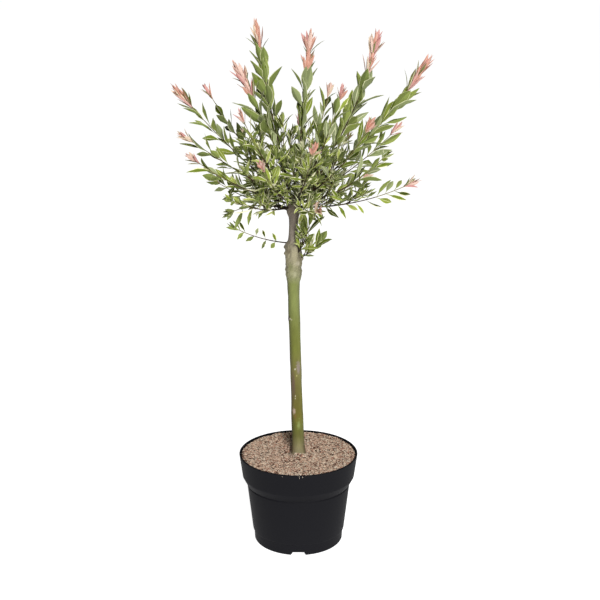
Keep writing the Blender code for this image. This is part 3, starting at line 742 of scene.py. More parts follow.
@dataclass
class Trunk:
    """The stem from its flare at the mulch, through the graft union, to the knob of the crown.

    tones are the bark's colours at heights above the foot: on its left side, in front, on its right
    side and at the back, and they hold painted light and shade as well as the bark's own colour: a lit
    side is lighter and a shaded one darker. marks are patches of a colour: bearing in degrees, height,
    half width, half height and colour. swells are round bumps: bearing, height, size and rise.
    """

    lean: float = 0.0066
    lean_height: float = 0.24
    foot: float = 0.1303
    sides: int = 96
    rows: int = 420
    stations: tuple = (
        (0.0000, 0.0112),
        (0.0060, 0.0098),
        (0.0180, 0.0088),
        (0.0470, 0.0086),
        (0.0700, 0.0082),
        (0.1600, 0.0080),
        (0.2350, 0.0080),
        (0.2570, 0.0088),
        (0.2650, 0.0106),
        (0.2850, 0.0112),
        (0.3040, 0.0110),
        (0.3100, 0.0104),
        (0.3150, 0.0078),
        (0.3220, 0.0066),
        (0.3400, 0.0062),
        (0.3480, 0.0070),
        (0.3540, 0.0092),
        (0.3640, 0.0098),
        (0.3740, 0.0086),
        (0.3790, 0.0050),
    )
    swells: tuple = (
        (-143.0, 0.204, 0.0040, 0.0011),
        (-60.0, 0.130, 0.0045, 0.0007),
        (80.0, 0.165, 0.0040, 0.0009),
        (-90.0, 0.040, 0.0060, 0.0005),
        (170.0, 0.306, 0.0032, 0.0026),
        (186.0, 0.298, 0.0026, 0.0022),
        (182.0, 0.312, 0.0022, 0.0018),
        (10.0, 0.290, 0.0036, 0.0022),
        (-14.0, 0.272, 0.0030, 0.0018),
        (-120.0, 0.278, 0.0050, 0.0012),
        (-70.0, 0.300, 0.0060, 0.0010),
        (100.0, 0.285, 0.0050, 0.0018),
    )
    # partly painted light and shade: besides the bark's own colour, the lit side is lighter and the shaded side
    # darker
    tones: tuple = (
        (0.000, (0.190, 0.135, 0.085), (0.300, 0.265, 0.160), (0.260, 0.200, 0.120), (0.16, 0.13, 0.07)),
        (0.016, (0.150, 0.112, 0.055), (0.250, 0.225, 0.105), (0.220, 0.190, 0.085), (0.14, 0.12, 0.05)),
        (0.030, (0.075, 0.066, 0.018), (0.160, 0.155, 0.045), (0.190, 0.190, 0.060), (0.13, 0.12, 0.04)),
        (0.045, (0.060, 0.058, 0.012), (0.150, 0.160, 0.030), (0.190, 0.205, 0.055), (0.13, 0.13, 0.04)),
        (0.062, (0.095, 0.072, 0.022), (0.145, 0.128, 0.020), (0.185, 0.180, 0.035), (0.13, 0.12, 0.03)),
        (0.092, (0.100, 0.070, 0.036), (0.128, 0.112, 0.028), (0.175, 0.172, 0.040), (0.12, 0.12, 0.04)),
        (0.130, (0.105, 0.092, 0.040), (0.165, 0.148, 0.042), (0.190, 0.182, 0.068), (0.14, 0.13, 0.04)),
        (0.160, (0.098, 0.098, 0.030), (0.150, 0.162, 0.030), (0.196, 0.208, 0.050), (0.14, 0.15, 0.04)),
        (0.188, (0.100, 0.104, 0.035), (0.148, 0.162, 0.034), (0.192, 0.208, 0.055), (0.14, 0.15, 0.04)),
        (0.225, (0.120, 0.134, 0.042), (0.205, 0.232, 0.070), (0.200, 0.220, 0.080), (0.17, 0.18, 0.06)),
        (0.255, (0.135, 0.140, 0.050), (0.190, 0.215, 0.062), (0.205, 0.220, 0.090), (0.17, 0.18, 0.06)),
        (0.268, (0.240, 0.225, 0.130), (0.270, 0.268, 0.140), (0.250, 0.240, 0.140), (0.25, 0.24, 0.13)),
        (0.292, (0.255, 0.225, 0.140), (0.275, 0.248, 0.158), (0.240, 0.205, 0.135), (0.25, 0.22, 0.14)),
        (0.308, (0.255, 0.225, 0.160), (0.270, 0.240, 0.160), (0.180, 0.155, 0.095), (0.24, 0.21, 0.14)),
        (0.318, (0.195, 0.165, 0.130), (0.235, 0.198, 0.160), (0.130, 0.105, 0.075), (0.19, 0.16, 0.12)),
        (0.340, (0.185, 0.160, 0.128), (0.240, 0.200, 0.165), (0.120, 0.100, 0.072), (0.19, 0.16, 0.13)),
        (0.379, (0.120, 0.095, 0.060), (0.150, 0.120, 0.080), (0.100, 0.078, 0.050), (0.12, 0.10, 0.06)),
    )
    marks: tuple = (
        (-146.0, 0.2045, 0.0016, 0.0045, (0.045, 0.032, 0.026)),
        (-132.0, 0.2048, 0.0008, 0.0012, (0.560, 0.480, 0.440)),
        (-116.0, 0.2040, 0.0005, 0.0006, (0.520, 0.500, 0.340)),
        (-62.0, 0.1330, 0.0030, 0.0090, (0.250, 0.205, 0.165)),
        (-98.0, 0.1310, 0.0006, 0.0011, (0.700, 0.640, 0.500)),
        (-82.0, 0.1215, 0.0008, 0.0014, (0.420, 0.400, 0.150)),
        (-120.0, 0.1080, 0.0026, 0.0160, (0.130, 0.088, 0.054)),
        (-102.0, 0.0910, 0.0005, 0.0012, (0.720, 0.660, 0.480)),
        (-104.0, 0.0875, 0.0005, 0.0009, (0.680, 0.620, 0.440)),
        (-122.0, 0.0680, 0.0021, 0.0042, (0.420, 0.315, 0.235)),
        (-110.0, 0.0600, 0.0016, 0.0040, (0.170, 0.110, 0.030)),
        (-78.0, 0.0470, 0.0022, 0.0050, (0.230, 0.270, 0.080)),
        (-60.0, 0.2850, 0.0040, 0.0030, (0.360, 0.330, 0.230)),
        (-110.0, 0.2800, 0.0030, 0.0050, (0.180, 0.180, 0.085)),
        (-80.0, 0.2700, 0.0024, 0.0040, (0.340, 0.330, 0.200)),
        (-130.0, 0.3020, 0.0034, 0.0034, (0.170, 0.140, 0.090)),
        (175.0, 0.2700, 0.0030, 0.0090, (0.380, 0.360, 0.270)),
    )

    def axis(self, height: np.ndarray) -> np.ndarray:
        """The middle line, which leans left and then runs straight up."""
        x = -self.lean * np.minimum(height / self.lean_height, 1.0)
        return np.stack([x, np.zeros_like(x), self.foot + height], -1)

    def apart(self, bearing: float, level: float) -> tuple[np.ndarray, np.ndarray]:
        """How far each place is round the bark, and up it, from a bearing in degrees and a height."""
        turns = np.arange(self.sides) * TURN / self.sides
        off = (turns - math.radians(bearing) + math.pi) % TURN - math.pi
        height, radius = self.outline()
        return off[None] * radius[:, None], (height - level)[:, None]

    def outline(self) -> tuple[np.ndarray, np.ndarray]:
        """Heights above the foot and the plain radius at each: the table of stations, smoothed."""
        table = np.array(self.stations)
        height = np.linspace(0.0, table[-1, 0], self.rows)
        base = np.interp(height, table[:, 0], table[:, 1])
        kernel = np.hanning(11)
        radius = np.convolve(np.pad(base, 5, mode="edge"), kernel / kernel.sum(), mode="valid")
        radius[-1] = 0.003
        return height, radius

    def paint(self, rings: np.ndarray) -> np.ndarray:
        """Bark colours: the table of tones, patches of noise, painted shade at both sides, and the marks.

        Args:
            rings: (rows, sides, 3) points of the skin.

        Returns:
            (rows, sides, 3) colours.
        """
        height, _ = self.outline()
        turns = np.arange(self.sides) * TURN / self.sides
        weights = np.stack([-np.cos(turns), -np.sin(turns), np.cos(turns), np.sin(turns)], 1)
        weights = np.clip(weights, 0.0, None) ** 2
        levels = [row[0] for row in self.tones]
        sides = np.array([row[1:] for row in self.tones])
        columns = [
            [np.interp(height, levels, sides[:, side, channel]) for channel in range(3)]
            for side in range(4)
        ]
        colours = np.einsum("ts,sch->htc", weights, np.array(columns))
        blotch = ripple(rings * (1.0, 1.0, 0.35), 0.009, 31)[..., None]
        rough = (smooth(height, 0.256, 0.268) * 0.8 + 0.35)[:, None, None]
        colours *= 1 + rough * (0.12 * blotch + 0.10 * ripple(rings, 0.0030, 32)[..., None])
        # painted shade: the sides facing +X and -X, left and right from the front, are darkened
        colours *= 1 - 0.25 * np.abs(np.cos(turns))[None, :, None] ** 6
        for bearing, level, wide, tall, colour in self.marks:
            around, up = self.apart(bearing, level)
            frayed = 1 + 0.35 * ripple(rings, 0.0035, 33)
            share = np.exp(-(((around / wide) ** 2 + (up / tall) ** 2) * frayed) ** 2)[..., None]
            colours = colours * (1 - share) + share * np.array(colour)
        return np.clip(colours, 0.0, 1.0)

    def surface(self) -> np.ndarray:
        """Rows of rings: the radius at each height, with wrinkles and swells added to it.

        Wrinkles are slanting waves that are strongest on the graft union.

        Returns:
            (rows, sides, 3) points.
        """
        height, radius = self.outline()
        turns = np.arange(self.sides) * TURN / self.sides
        around = np.stack([np.cos(turns), np.sin(turns), np.zeros_like(turns)], -1)
        axis = self.axis(height)
        skin = axis[:, None] + radius[:, None, None] * around
        union = smooth(height, 0.252, 0.268) * (1 - smooth(height, 0.308, 0.318))
        knob = smooth(height, 0.346, 0.354)
        flare = 1 - smooth(height, 0.0, 0.030)
        rough = 0.10 + 0.55 * union + 0.6 * knob + 0.25 * flare
        relief = rough[:, None] * 0.0007 * ripple(skin * (1.0, 1.0, 0.6), 0.006, 21)
        relief += rough[:, None] * 0.0003 * ripple(skin, 0.0022, 22)
        bent = height[:, None] * TURN / 0.0074 + 2.0 * np.sin(turns) + 1.3 * np.sin(2 * turns + 1.0)
        low = 1 - smooth(height, 0.272, 0.290)
        relief += (union * low)[:, None] * 0.00030 * np.sin(bent)
        relief += 0.00022 * ripple(skin * (1.0, 1.0, 0.25), 0.010, 23)
        for bearing, level, size, rise in self.swells:
            around_it, above_it = self.apart(bearing, level)
            relief += rise * np.exp(-(around_it**2 + above_it**2) / size**2)
        return axis[:, None] + (radius[:, None] + relief)[..., None] * around

    def build(self) -> None:
        """Makes the closed skin and lets it stand for the frame's trunk."""
        rings = self.surface()
        count = rings.shape[0] * self.sides
        faces = grid_faces(self.rows, self.sides)
        low = np.arange(self.sides)
        high = (self.rows - 1) * self.sides + low
        ends = np.vstack([
            np.stack([np.roll(low, -1), low, np.full(self.sides, count)], 1),
            np.stack([high, np.roll(high, -1), np.full(self.sides, count + 1)], 1),
        ])
        centres = np.stack([rings[0].mean(axis=0), rings[-1].mean(axis=0) + (0, 0, 0.001)])
        points = np.vstack([rings.reshape(-1, 3), centres])
        slots = [np.zeros(len(faces), int), np.zeros(len(ends), int)]
        tones = self.paint(rings)
        tones = np.vstack([tones.reshape(-1, 3), tones[0, :1], tones[-1, :1]])
        finish = BarkFinish().material()
        skin = put_mesh("trunk_bark", points, [faces, ends], slots, [finish], tones=tones)
        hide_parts("trunk")
        LOG.info("trunk bark: %d faces", len(skin.data.polygons))


@dataclass
class Tubes:
    """Many round tapering stems, gathered and then put into one mesh."""

    sides: int
    points: list = field(default_factory=list)
    faces: list = field(default_factory=list)
    slots: list = field(default_factory=list)
    count: int = 0

    def add(self, line: np.ndarray, radii: np.ndarray, slot: np.ndarray | int) -> None:
        """Adds a stem with closed ends whose rings are square to its line.

        Args:
            line: (stations, 3) points.
            radii: the radius at each.
            slot: the material number, or one for each stretch between stations.
        """
        along = unit(np.gradient(line, axis=0))
        normal = unit(np.cross(along, SLANT))
        turns = np.arange(self.sides) * TURN / self.sides
        other = np.cross(along, normal)
        ring = np.cos(turns)[None, :, None] * normal[:, None] + np.sin(turns)[None, :, None] * other[:, None]
        skin = (line[:, None] + radii[:, None, None] * ring).reshape(-1, 3)
        stations = len(line)
        sides = grid_faces(stations, self.sides, self.count)
        slots = np.repeat(np.broadcast_to(slot, stations - 1), self.sides)
        centre = self.count + len(skin)
        low = self.count + np.arange(self.sides)
        high = low + (stations - 1) * self.sides
        foot = np.stack([np.roll(low, -1), low, np.full(self.sides, centre)], 1)
        tip = np.stack([high, np.roll(high, -1), np.full(self.sides, centre + 1)], 1)
        self.points.append(np.vstack([skin, line[0], line[-1] + along[-1] * radii[-1]]))
        self.faces.append((sides, np.vstack([foot, tip])))
        self.slots.append((slots, np.repeat([slots[0], slots[-1]], self.sides)))
        self.count += len(skin) + 2

    def put(self, name: str, materials: list) -> bpy.types.Object:
        """Puts all the stems into one mesh."""
        faces = [np.vstack([pair[i] for pair in self.faces]) for i in range(2)]
        slots = [np.concatenate([pair[i] for pair in self.slots]) for i in range(2)]
        return put_mesh(name, np.vstack(self.points), faces, slots, materials)


@cache
def leaf_material(name: str, colour: Colour) -> bpy.types.Material:
    """A leaf's finish, made once for each name: satin, with a fine grain."""
    return Finish(name, colour, 0.52, 0.0014, 0.12, gloss=0.04).material()


@dataclass(frozen=True)
class LeafOutline:
    """The outline of a leaf and its strips.

    breadths are the shares of the full width at stations, which are shares of the blade's length.
    across are places from the left edge, -1, to the right edge, 1, and under those of the
    underside from right to left. parts are the strips from each of them to the next, round the leaf.
    """

    stations: tuple[float, ...]
    breadths: tuple[float, ...]
    across: tuple[float, ...]
    under: tuple[float, ...]
    parts: tuple[Part, ...]


BROAD_LEAF = LeafOutline(
    stations=(0.06, 0.20, 0.38, 0.58, 0.77, 0.92),
    breadths=(0.16, 0.48, 0.84, 1.00, 0.70, 0.28),
    across=(-1.0, -0.92, -0.09, 0.09, 0.92, 1.0),
    under=(0.88, 0.0, -0.88),
    parts=(
        *(Part.PALE, Part.BLADE, Part.PALE, Part.PAINTED_SHADE_HALF, Part.PALE),
        *(Part.PALE, Part.BELOW, Part.SHADE, Part.PALE),
    ),
)
FINE_LEAF = LeafOutline(
    stations=(0.10, 0.32, 0.60, 0.86),
    breadths=(0.30, 0.84, 1.00, 0.42),
    across=(-1.0, -0.60, 0.78, 1.0),
    under=(0.0,),
    parts=(Part.PALE, Part.BLADE, Part.PALE, Part.BELOW, Part.SHADE),
)
YOUNG_LEAF = LeafOutline(
    stations=(0.12, 0.38, 0.64, 0.86),
    breadths=(0.50, 0.90, 0.94, 0.46),
    across=(-1.0, -0.20, 0.20, 1.0),
    under=(0.0,),
    parts=(Part.BLADE, Part.PALE, Part.PAINTED_SHADE_HALF, Part.BELOW, Part.SHADE),
)


@dataclass(frozen=True)
class LeafShape:
    """Measures of one leaf.

    fold raises its edges and bend carries its tip back, both as shares. sway carries the tip
    sideways. twist turns it about its length, in radians at the tip. wave is how far its margins
    go up and down, and phase where that starts. stalk is the share of the length before the blade.
    """

    length: float
    width: float
    fold: float
    bend: float
    sway: float = 0.0
    twist: float = 0.0
    wave: float = 0.0
    phase: float = 0.0
    stalk: float = 0.0


@dataclass
class Leaves:
    """Leaves of one outline and some tints, gathered as arrays and then put into one mesh."""

    outline: LeafOutline
    tints: tuple
    roots: list = field(default_factory=list)
    ways: list = field(default_factory=list)
    fronts: list = field(default_factory=list)
    shapes: list = field(default_factory=list)
    kinds: list = field(default_factory=list)
    cream: float = 0.7
    thickness: float = 0.035
    waves: float = 11.0
    # painted shade: how dark the shaded halves are, as a share of their colour
    shade: float = 0.72

    def add(
        self, root: np.ndarray, way: np.ndarray, front: np.ndarray, shape: LeafShape, tint: Tint
    ) -> None:
        """Adds one leaf.

        Args:
            root: where it leaves its twig.
            way: the direction that it sets out in.
            front: the direction that its upper side faces.
            shape: its measures.
            tint: its colour.
        """
        self.roots.append(root)
        self.ways.append(way)
        self.fronts.append(front)
        self.shapes.append(astuple(shape))
        self.kinds.append(self.tints.index(tint))

    def grid(self) -> np.ndarray:
        """Places of every leaf: root, rings, tip.

        Down the middle, at a share u of the length: u * way - bend * u^2 * front + sway * u^2 * side.
        Across, the side turns by twist * u. A place at x, from -1 to 1, lies at x half widths along
        it and is raised by fold * |x| + wave * x * sin(waves * u + phase) half widths.

        Returns:
            (leaves, points, 3) places.
        """
        roots, ways, fronts = (np.array(rows) for rows in (self.roots, self.ways, self.fronts))
        length, width, fold, bend, sway, twist, wave, phase, stalk = np.array(self.shapes).T[..., None]
        side = np.cross(fronts, ways)
        places = [roots]
        for station, breadth in zip(self.outline.stations, self.outline.breadths):
            u = stalk + (1 - stalk) * station
            middle = roots + length * (u * ways + u**2 * (sway * side - bend * fronts))
            across = np.cos(twist * u) * side + np.sin(twist * u) * fronts
            above = np.cos(twist * u) * fronts - np.sin(twist * u) * side
            half = width * breadth / 2
            depth = width * self.thickness * (0.5 + breadth)
            for number, x in enumerate(self.outline.across + self.outline.under):
                rise = fold * abs(x) + wave * x * np.sin(self.waves * u + phase)
                drop = depth * (1 - 0.7 * abs(x)) * (number >= len(self.outline.across))
                places.append(middle + half * (x * across + rise * above) - drop * above)
        places.append(roots + length * (ways + sway * side - bend * fronts))
        return np.stack(places, 1)

    def put(self, name: str) -> bpy.types.Object:
        """Puts all the leaves into one mesh, with a material for each part of each tint."""
        places = self.grid()
        rows, across = len(self.outline.stations), len(self.outline.parts)
        count = places.shape[1]
        quads = grid_faces(rows, across, 1)[:, ::-1]
        strip = np.array([part.value for part in self.outline.parts])
        first = 1 + np.arange(across)
        last = 1 + (rows - 1) * across + np.arange(across)
        root = np.stack([first, np.roll(first, -1), np.zeros(across, int)], 1)
        tip = np.stack([np.roll(last, -1), last, np.full(across, count - 1)], 1)
        fans = np.vstack([root, tip])
        shift = count * np.arange(len(places))[:, None, None]
        faces = [(quads[None] + shift).reshape(-1, 4), (fans[None] + shift).reshape(-1, 3)]
        kinds = len(Part) * np.array(self.kinds)[:, None]
        slots = [
            (kinds + np.tile(strip, rows - 1)).ravel(),
            (kinds + np.tile(strip, 2)).ravel(),
        ]
        return put_mesh(name, places.reshape(-1, 3), faces, slots, self.materials(), 50.0)

    def materials(self) -> list:
        """Colours of each tint's parts: paler mixes of the blade's, and darker copies as painted shade."""
        found = []
        for tint in self.tints:
            blade = np.array(BLADE_COLOURS[tint])
            pale = (1 - self.cream) * blade + self.cream * np.array((0.84, 0.82, 0.52))
            below = 0.50 * blade + 0.50 * np.array((0.27, 0.32, 0.12))
            # painted shade: darker copies of the blade and the underside, for the shaded halves
            painted_shade_half, shade = self.shade * blade, self.shade * below
            if tint in PINK_TINTS:
                pale = 0.6 * blade + 0.4 * np.array((0.84, 0.68, 0.58))
                below = 0.7 * blade + 0.3 * np.array((0.80, 0.60, 0.52))
                # painted shade: darker copies of the blade, for the shaded halves of pink leaves
                painted_shade_half, shade = 0.85 * blade, 0.9 * blade
            for part, colour in zip(Part, (blade, painted_shade_half, pale, below, shade)):
                name = f"leaf_{tint.value}_{part.name.lower()}"
                found.append(leaf_material(name, tuple(map(float, colour))))
        return found


@dataclass
class Stem:
    """A curve through points, read by the distance along it."""

    line: np.ndarray

    def __post_init__(self) -> None:
        """Measures the distance of each point from the foot."""
        steps = np.linalg.norm(np.diff(self.line, axis=0), axis=1)
        self.run = np.concatenate([[0.0], np.cumsum(steps)])
        self.length = float(self.run[-1])

    def place(self, distance: float) -> np.ndarray:
        """The point at a distance from the foot."""
        return np.array([np.interp(distance, self.run, self.line[:, axis]) for axis in range(3)])

    def way(self, distance: float) -> np.ndarray:
        """The direction of the curve at a distance from the foot."""
        distance = min(max(distance, 0.002), self.length - 0.002)
        return unit(self.place(distance + 0.002) - self.place(distance - 0.002))


@dataclass
class Crown:
    """Shoots, side twigs and leaves, grown by one rule from the table of shoots."""

    knob_rise: float = 0.018
    knob_spread: float = 0.003
    bough_radius: float = 0.0016
    tip_radius: float = 0.0005
    tip_room: float = 0.78
    leaf_room: float = 0.68
    sprout_start: float = 0.008
    inner_twigs: int = 32
    seed: int = 5

    def __post_init__(self) -> None:
        """Opens the sets that the growth fills."""
        self.rng = np.random.default_rng(self.seed)
        self.stems = Tubes(sides=7)
        self.twigs = Tubes(sides=5)
        self.broad = Leaves(BROAD_LEAF, GREEN_TINTS, cream=0.55)
        self.fine = Leaves(FINE_LEAF, GREEN_TINTS, cream=0.9)
        self.turning = Leaves(YOUNG_LEAF, TURNING_TINTS)
        self.pink = Leaves(YOUNG_LEAF, PINK_TINTS)

    def spread(self, low: float, high: float) -> float:
        """A random value between two."""
        return float(self.rng.uniform(low, high))

    def leaf(
        self,
        foot: np.ndarray,
        along: np.ndarray,
        turn: float,
        opening: float,
        shape: LeafShape,
        tint: Tint,
        roll: float = 0.0,
    ) -> None:
        """A leaf that stands out of a stem at a turn round it, opened by an angle in degrees.

        Its upper side faces the stem, turned about the leaf by a roll that varies by chance.
        """
        normal = unit(np.cross(along, SLANT))
        out = math.cos(turn) * normal + math.sin(turn) * np.cross(along, normal)
        angle = math.radians(opening)
        way = math.cos(angle) * along + math.sin(angle) * out
        front = unit(along - way * np.dot(along, way))
        roll = self.rng.normal(roll, 0.50 if roll > 0.0 or tint in PINK_TINTS else 0.90)
        front = math.cos(roll) * front + math.sin(roll) * np.cross(way, front)
        if tint in PINK_TINTS:
            group = self.pink
        elif tint in TURNING_TINTS:
            group = self.turning
        else:
            group = self.broad if shape.width > 0.0066 else self.fine
        group.add(foot, way, front, shape, tint)

    def stand(
        self, stem: Stem, distance: float, turn: float, opening: float, shape: LeafShape, tint: Tint
    ) -> None:
        """A leaf that stands on a stem at a distance from its foot."""
        self.leaf(stem.place(distance), stem.way(distance), turn, opening, shape, tint)

    def shape(self, length: float, width: float) -> LeafShape:
        """A leaf of about a length and a width, bent and waved by chance."""
        return LeafShape(
            length * self.spread(0.74, 1.14),
            width * self.spread(0.60, 1.16),
            self.spread(0.10, 0.55),
            self.spread(-0.10, 0.32),
            self.spread(-0.18, 0.18),
            self.rng.normal(0.0, 0.45),
            self.spread(0.05, 0.28),
            self.spread(0.0, TURN),
            self.spread(0.0, 0.26),
        )

    def green(self, dress: Dress, share: float) -> Tint:
        """A green dealt out by chance, fresher towards the tip: share is 0 at the foot, 1 at the tip."""
        weights = np.array(dress.greens) * (1.3 - 0.6 * share, 1.0, 0.8 + 0.4 * share, 1.0, 1.0, 1.0)
        return GREEN_TINTS[int(self.rng.choice(len(GREEN_TINTS), p=weights / weights.sum()))]

    def pairs(self, stem: Stem, dress: Dress, scale: float, start: float, end: float) -> None:
        """Pairs of leaves down a stem, each pair about a quarter turn on from the last.

        Args:
            stem: the curve that they stand on.
            dress: their sizes, spacing and colours.
            scale: multiplies their size.
            start: bare length at the foot.
            end: length at the tip that is left to the young leaves.
        """
        turn = self.spread(0, TURN)
        top = max(stem.length - end, start + 0.001)
        distance = top
        roll = math.pi / 2 if dress.flat else 0.0
        while distance > start:
            share = distance / top
            foot, along = stem.place(distance), stem.way(distance)
            grown = dress.least + (1 - dress.least) * float(smooth(np.array(share), 0.15, 0.78))
            if dress.flat:
                turn = math.pi / 2 + self.spread(-0.5, 0.5)
            for number in range(dress.ring):
                slip = self.spread(-0.0014, 0.0014)
                opening = dress.opening[0] + share * (dress.opening[1] - dress.opening[0])
                opening += self.rng.normal(0, 3 + 0.2 * opening)
                size = scale * grown
                tint = self.green(dress, share)
                slim = 0.5 if tint is Tint.PALE else 1.0
                shape = self.shape(dress.length * size, dress.width * size * slim)
                spin = turn + TURN * number / dress.ring + self.spread(-0.4, 0.4)
                self.leaf(foot + along * slip, along, spin, opening, shape, tint, roll)
            turn += math.pi / dress.ring + self.spread(-0.4, 0.4)
            distance -= dress.spacing * self.spread(0.8, 1.2)

    def young_tint(self, tip: Tint, age: float) -> Tint:
        """The tint of a young leaf: the tip's own at age 0, then paler and tanner ones up to age 1."""
        deal = self.rng.random()
        if tip not in PINK_TINTS:
            return tip if deal > 0.4 else self.green(Habit.LOW.value, 1.0)
        if deal > 0.30 + 0.60 * age:
            return tip
        if deal > 0.18 * age:
            return PINK_TINTS[int(self.rng.integers(len(PINK_TINTS)))]
        return TURNING_TINTS[int(self.rng.integers(len(TURNING_TINTS)))]

    def bundle(self, stem: Stem, ending: Ending, scale: float, tip: Tint) -> None:
        """The young leaves that end a stem, with the thin dark ones that stand off below them."""
        young = ending.value
        turn = self.spread(0, TURN)
        for tier in range(young.tiers):
            back = tier * young.gap * scale
            for number in range(young.count):
                share = number / (young.count - 1)
                distance = stem.length - back - young.room * scale * share
                opening = young.opening[0] + share * (young.opening[1] - young.opening[0])
                shape = LeafShape(
                    scale * young.length * (0.80 + 0.25 * share) * self.spread(0.84, 1.06),
                    scale * young.width * self.spread(0.75, 1.15),
                    self.spread(0.1, 0.6),
                    self.spread(*young.curl),
                    self.spread(-0.06, 0.06),
                    self.spread(-0.6, 0.6),
                    self.spread(0.0, 0.2),
                )
                tint = self.young_tint(tip, 0.8 * share + 0.2 * tier)
                self.stand(stem, distance, turn + SPIRAL * number, opening + self.spread(-4, 4), shape, tint)
            for number in range(young.thin):
                distance = stem.length - back - young.room * scale * self.spread(0.8, 1.2)
                length = scale * young.length * self.spread(0.6, 1.0)
                shape = LeafShape(length, 0.0028, 0.5, self.spread(0.0, 0.35), self.spread(-0.2, 0.2))
                tint = Tint.OLIVE if self.rng.random() < 0.5 else Tint.DEEP
                spin = turn + TURN * number / young.thin
                self.stand(stem, distance, spin, self.spread(14, 34), shape, tint)

    def twig(
        self,
        foot: np.ndarray,
        along: np.ndarray,
        length: float,
        habit: Habit,
        scale: float,
        ending: Ending,
        tip: Tint,
    ) -> None:
        """A side twig that leaves its stem at an angle and bends upwards, with its leaves.

        Args:
            foot: where it leaves the stem.
            along: the stem's direction there.
            length: the twig's length.
            habit: how it is dressed.
            scale: multiplies the size of its leaves.
            ending: how its youngest leaves are bundled.
            tip: their colour.
        """
        turn = self.spread(0, TURN)
        normal = unit(np.cross(along, SLANT))
        out = math.cos(turn) * normal + math.sin(turn) * np.cross(along, normal)
        if out[2] < -0.1:
            out = -out
        first = unit(0.8 * along + 0.65 * out + 0.15 * UP)
        last = unit(first + 0.5 * along + 0.35 * UP + 0.25 * self.rng.normal(0, 1, 3))
        middle = foot + first * length / 2
        end = middle + last * length / 2
        shares = np.linspace(0, 1, 7)[:, None]
        line = (1 - shares) ** 2 * foot + 2 * shares * (1 - shares) * middle + shares**2 * end
        self.twigs.add(line, np.linspace(0.0008, 0.0004, 7), np.array((0, 0, 0, 1, 1, 2)))
        stem = Stem(line)
        self.pairs(stem, habit.value, scale, 0.004, ending.value.room)
        self.bundle(stem, ending, scale, tip)

    def shoot(self, shoot: Shoot) -> None:
        """One shoot: its stem from the knob to its young leaves, its pairs and its side twigs."""
        dress, young = shoot.habit.value, shoot.ending.value
        length = shoot.length()
        start = 0.0 if shoot.has_bough else self.sprout_start / length
        end = 1.0 - self.tip_room * young.length / length
        line = shoot.line(np.linspace(start, end, 33))
        thick = self.bough_radius if shoot.has_bough else 0.0010
        radii = self.tip_radius + (thick - self.tip_radius) * np.linspace(1, 0, 33) ** 2
        radii *= 1 + 0.08 * np.sin(np.arange(33) * 2.1)
        self.stems.add(line, radii, np.minimum(np.arange(32) // 11, 2))
        stem = Stem(line)
        rise = dress.length * math.cos(math.radians(dress.opening[1])) * self.leaf_room
        free = young.gap * (young.tiers - 1) + young.room + rise + shoot.bare
        self.pairs(stem, dress, 1.0, 0.020 if shoot.has_bough else 0.004, free)
        self.bundle(stem, shoot.ending, 1.0, shoot.tip)
        behind = 0.3 < math.sin(math.radians(shoot.azimuth))
        twigs = dress.twigs - 2 * behind
        for i in range(twigs):
            low = 0.20 if behind else 0.09
            share = low + (dress.twig_end - low) * (i + self.spread(-0.3, 0.3)) / twigs
            distance = share * stem.length
            reach = (0.060 - 0.036 * share) * self.spread(0.7, 1.1) * min(length / 0.2, 1.2)
            has_tuft = shoot.has_bough and self.rng.random() < 0.10
            habit = Habit.SIDE if share > 0.30 or has_tuft else Habit.INNER
            ending = Ending.STREAK if has_tuft else Ending.BUD
            tip = PINK_TINTS[int(self.rng.integers(4))] if has_tuft else self.green(habit.value, 1.0)
            foot, along, scale = stem.place(distance), stem.way(distance), self.spread(0.8, 1.1)
            self.twig(foot, along, reach, habit, scale, ending, tip)

    def inner(self) -> None:
        """Short leafy twigs that fill the middle of the crown, out of the feet of the boughs."""
        for _ in range(self.inner_twigs):
            shoot = SHOOTS[int(27 * self.rng.random() ** 1.3)]
            share = self.spread(0.0, 0.22) if shoot.lean < 70 else self.spread(0.1, 0.45)
            if math.sin(math.radians(shoot.azimuth)) > 0.3 and self.rng.random() < 0.6:
                continue
            line = shoot.line(np.array((share, share + 0.02)))
            along = unit(line[1] - line[0])
            tip = (Tint.MID, Tint.FRESH, Tint.LIME)[int(self.rng.integers(3))]
            reach = self.spread(0.036, 0.078) * (1.0 if shoot.lean < 70 else 0.6)
            scale = self.spread(0.8, 1.15)
            self.twig(line[0], along, reach, Habit.INNER, scale, Ending.BUD, tip)

    def build(self) -> None:
        """Grows every shoot and lets the pieces stand for the frame's boughs and foliage."""
        for shoot in SHOOTS:
            self.shoot(shoot)
        self.inner()
        woods = [
            Finish("twig_old", (0.020, 0.012, 0.005), 0.6, 0.0010, 0.3, gloss=0.2).material(),
            Finish("twig_red", (0.060, 0.034, 0.012), 0.55, 0.0010, 0.3, gloss=0.2).material(),
            Finish("twig_green", (0.200, 0.170, 0.060), 0.5, 0.0010, 0.3, gloss=0.2).material(),
        ]
        boughs = [f"bough_{shoot.name}" for shoot in SHOOTS if shoot.has_bough]
        masses = [f"foliage_{shoot.name}" for shoot in SHOOTS]
        stems = self.stems.put("boughs_and_stems", woods)
        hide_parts(*boughs, *masses)
        twigs = self.twigs.put("side_twigs", woods)
        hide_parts(*masses)
        pieces = [stems, twigs]
        for name, group in (
            ("leaves_broad", self.broad),
            ("leaves_fine", self.fine),
            ("leaves_turning", self.turning),
            ("leaves_pink", self.pink),
        ):
            piece = group.put(name)
            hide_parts(*masses)
            pieces.append(piece)
            LOG.info("%s: %d leaves", name, len(group.roots))
        for piece in pieces:
            LOG.info("%s: %d faces", piece.name, len(piece.data.polygons))


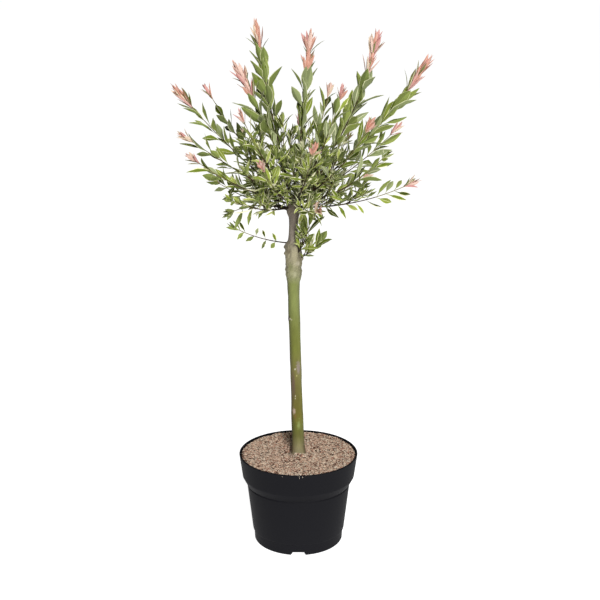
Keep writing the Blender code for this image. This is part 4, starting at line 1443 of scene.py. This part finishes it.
@dataclass
class Studio:
    """Pale floor, soft lights and the camera at the photograph's angle."""

    camera_place: tuple = (0.0023, -1.7384, 0.8636)
    camera_tilt: float = 16.135
    lens: float = 78.0
    sensor: float = 36.0
    floor_size: float = 30.0
    floor_light: tuple = (0.20, 0.95)

    def camera(self) -> None:
        """A camera that looks level along +Y, tilted down."""
        data = bpy.data.cameras.new("camera")
        data.lens = self.lens
        data.sensor_width = self.sensor
        camera = bpy.data.objects.new("camera", data)
        camera.location = self.camera_place
        camera.rotation_euler = (math.radians(90 - self.camera_tilt), 0.0, 0.0)
        bpy.context.scene.collection.objects.link(camera)
        bpy.context.scene.camera = camera

    def floor(self) -> None:
        """A wide pale floor, just under the pot, with a light of its own from the pot backwards."""
        mesh = bpy.data.meshes.new("floor")
        half = self.floor_size / 2
        corners = [(-half, -half, 0), (half, -half, 0), (half, half, 0), (-half, half, 0)]
        mesh.from_pydata(corners, [], [(0, 1, 2, 3)])
        white = Finish("floor", (0.62, 0.62, 0.62), 0.9, 0.05, 0.0, gloss=0.0).material()
        nodes, links = white.node_tree.nodes, white.node_tree.links
        where = nodes.new("ShaderNodeTexCoord")
        axes = nodes.new("ShaderNodeSeparateXYZ")
        links.new(where.outputs["Object"], axes.inputs["Vector"])
        rise = nodes.new("ShaderNodeMapRange")
        rise.inputs["From Min"].default_value = -0.60
        rise.inputs["From Max"].default_value = -0.20
        rise.inputs["To Min"].default_value = self.floor_light[0]
        rise.inputs["To Max"].default_value = self.floor_light[1]
        links.new(axes.outputs["Y"], rise.inputs["Value"])
        shader = nodes["Principled BSDF"]
        shader.inputs["Emission Color"].default_value = (1.0, 1.0, 1.0, 1.0)
        links.new(rise.outputs["Result"], shader.inputs["Emission Strength"])
        mesh.materials.append(white)
        floor = bpy.data.objects.new("floor", mesh)
        floor.location.z = -0.0002
        bpy.context.scene.collection.objects.link(floor)

    def light(self, name: str, place: tuple, size: float, power: float) -> None:
        """A square area light that points at the crown."""
        data = bpy.data.lights.new(name, "AREA")
        data.size = size
        data.energy = power
        lamp = bpy.data.objects.new(name, data)
        aim = np.array((0.0, 0.0, 0.4)) - np.array(place)
        z = unit(-aim)
        x = unit(np.cross(UP, z))
        rotation = Matrix(np.stack([x, np.cross(z, x), z], 1).tolist())
        lamp.matrix_world = Matrix.Translation(place) @ rotation.to_4x4()
        bpy.context.scene.collection.objects.link(lamp)

    def build(self) -> None:
        """Sets up floor, world, lights and camera."""
        self.camera()
        self.floor()
        world = bpy.data.worlds.new("studio")
        world.use_nodes = True
        world.node_tree.nodes["Background"].inputs["Color"].default_value = (1.0, 1.0, 1.0, 1.0)
        world.node_tree.nodes["Background"].inputs["Strength"].default_value = 0.10
        bpy.context.scene.world = world
        bpy.context.scene.view_settings.view_transform = "Standard"
        self.light("key", (0.45, -2.5, 1.75), 0.7, 88.0)


def main() -> None:
    """Builds every sub-assembly in order."""
    logging.basicConfig(level=logging.INFO, format="%(name)s %(message)s")
    Studio().build()
    Pot().build()
    Mulch().build()
    Trunk().build()
    Crown().build()
    bpy.context.view_layer.update()


if __name__ == "__main__":
    main()
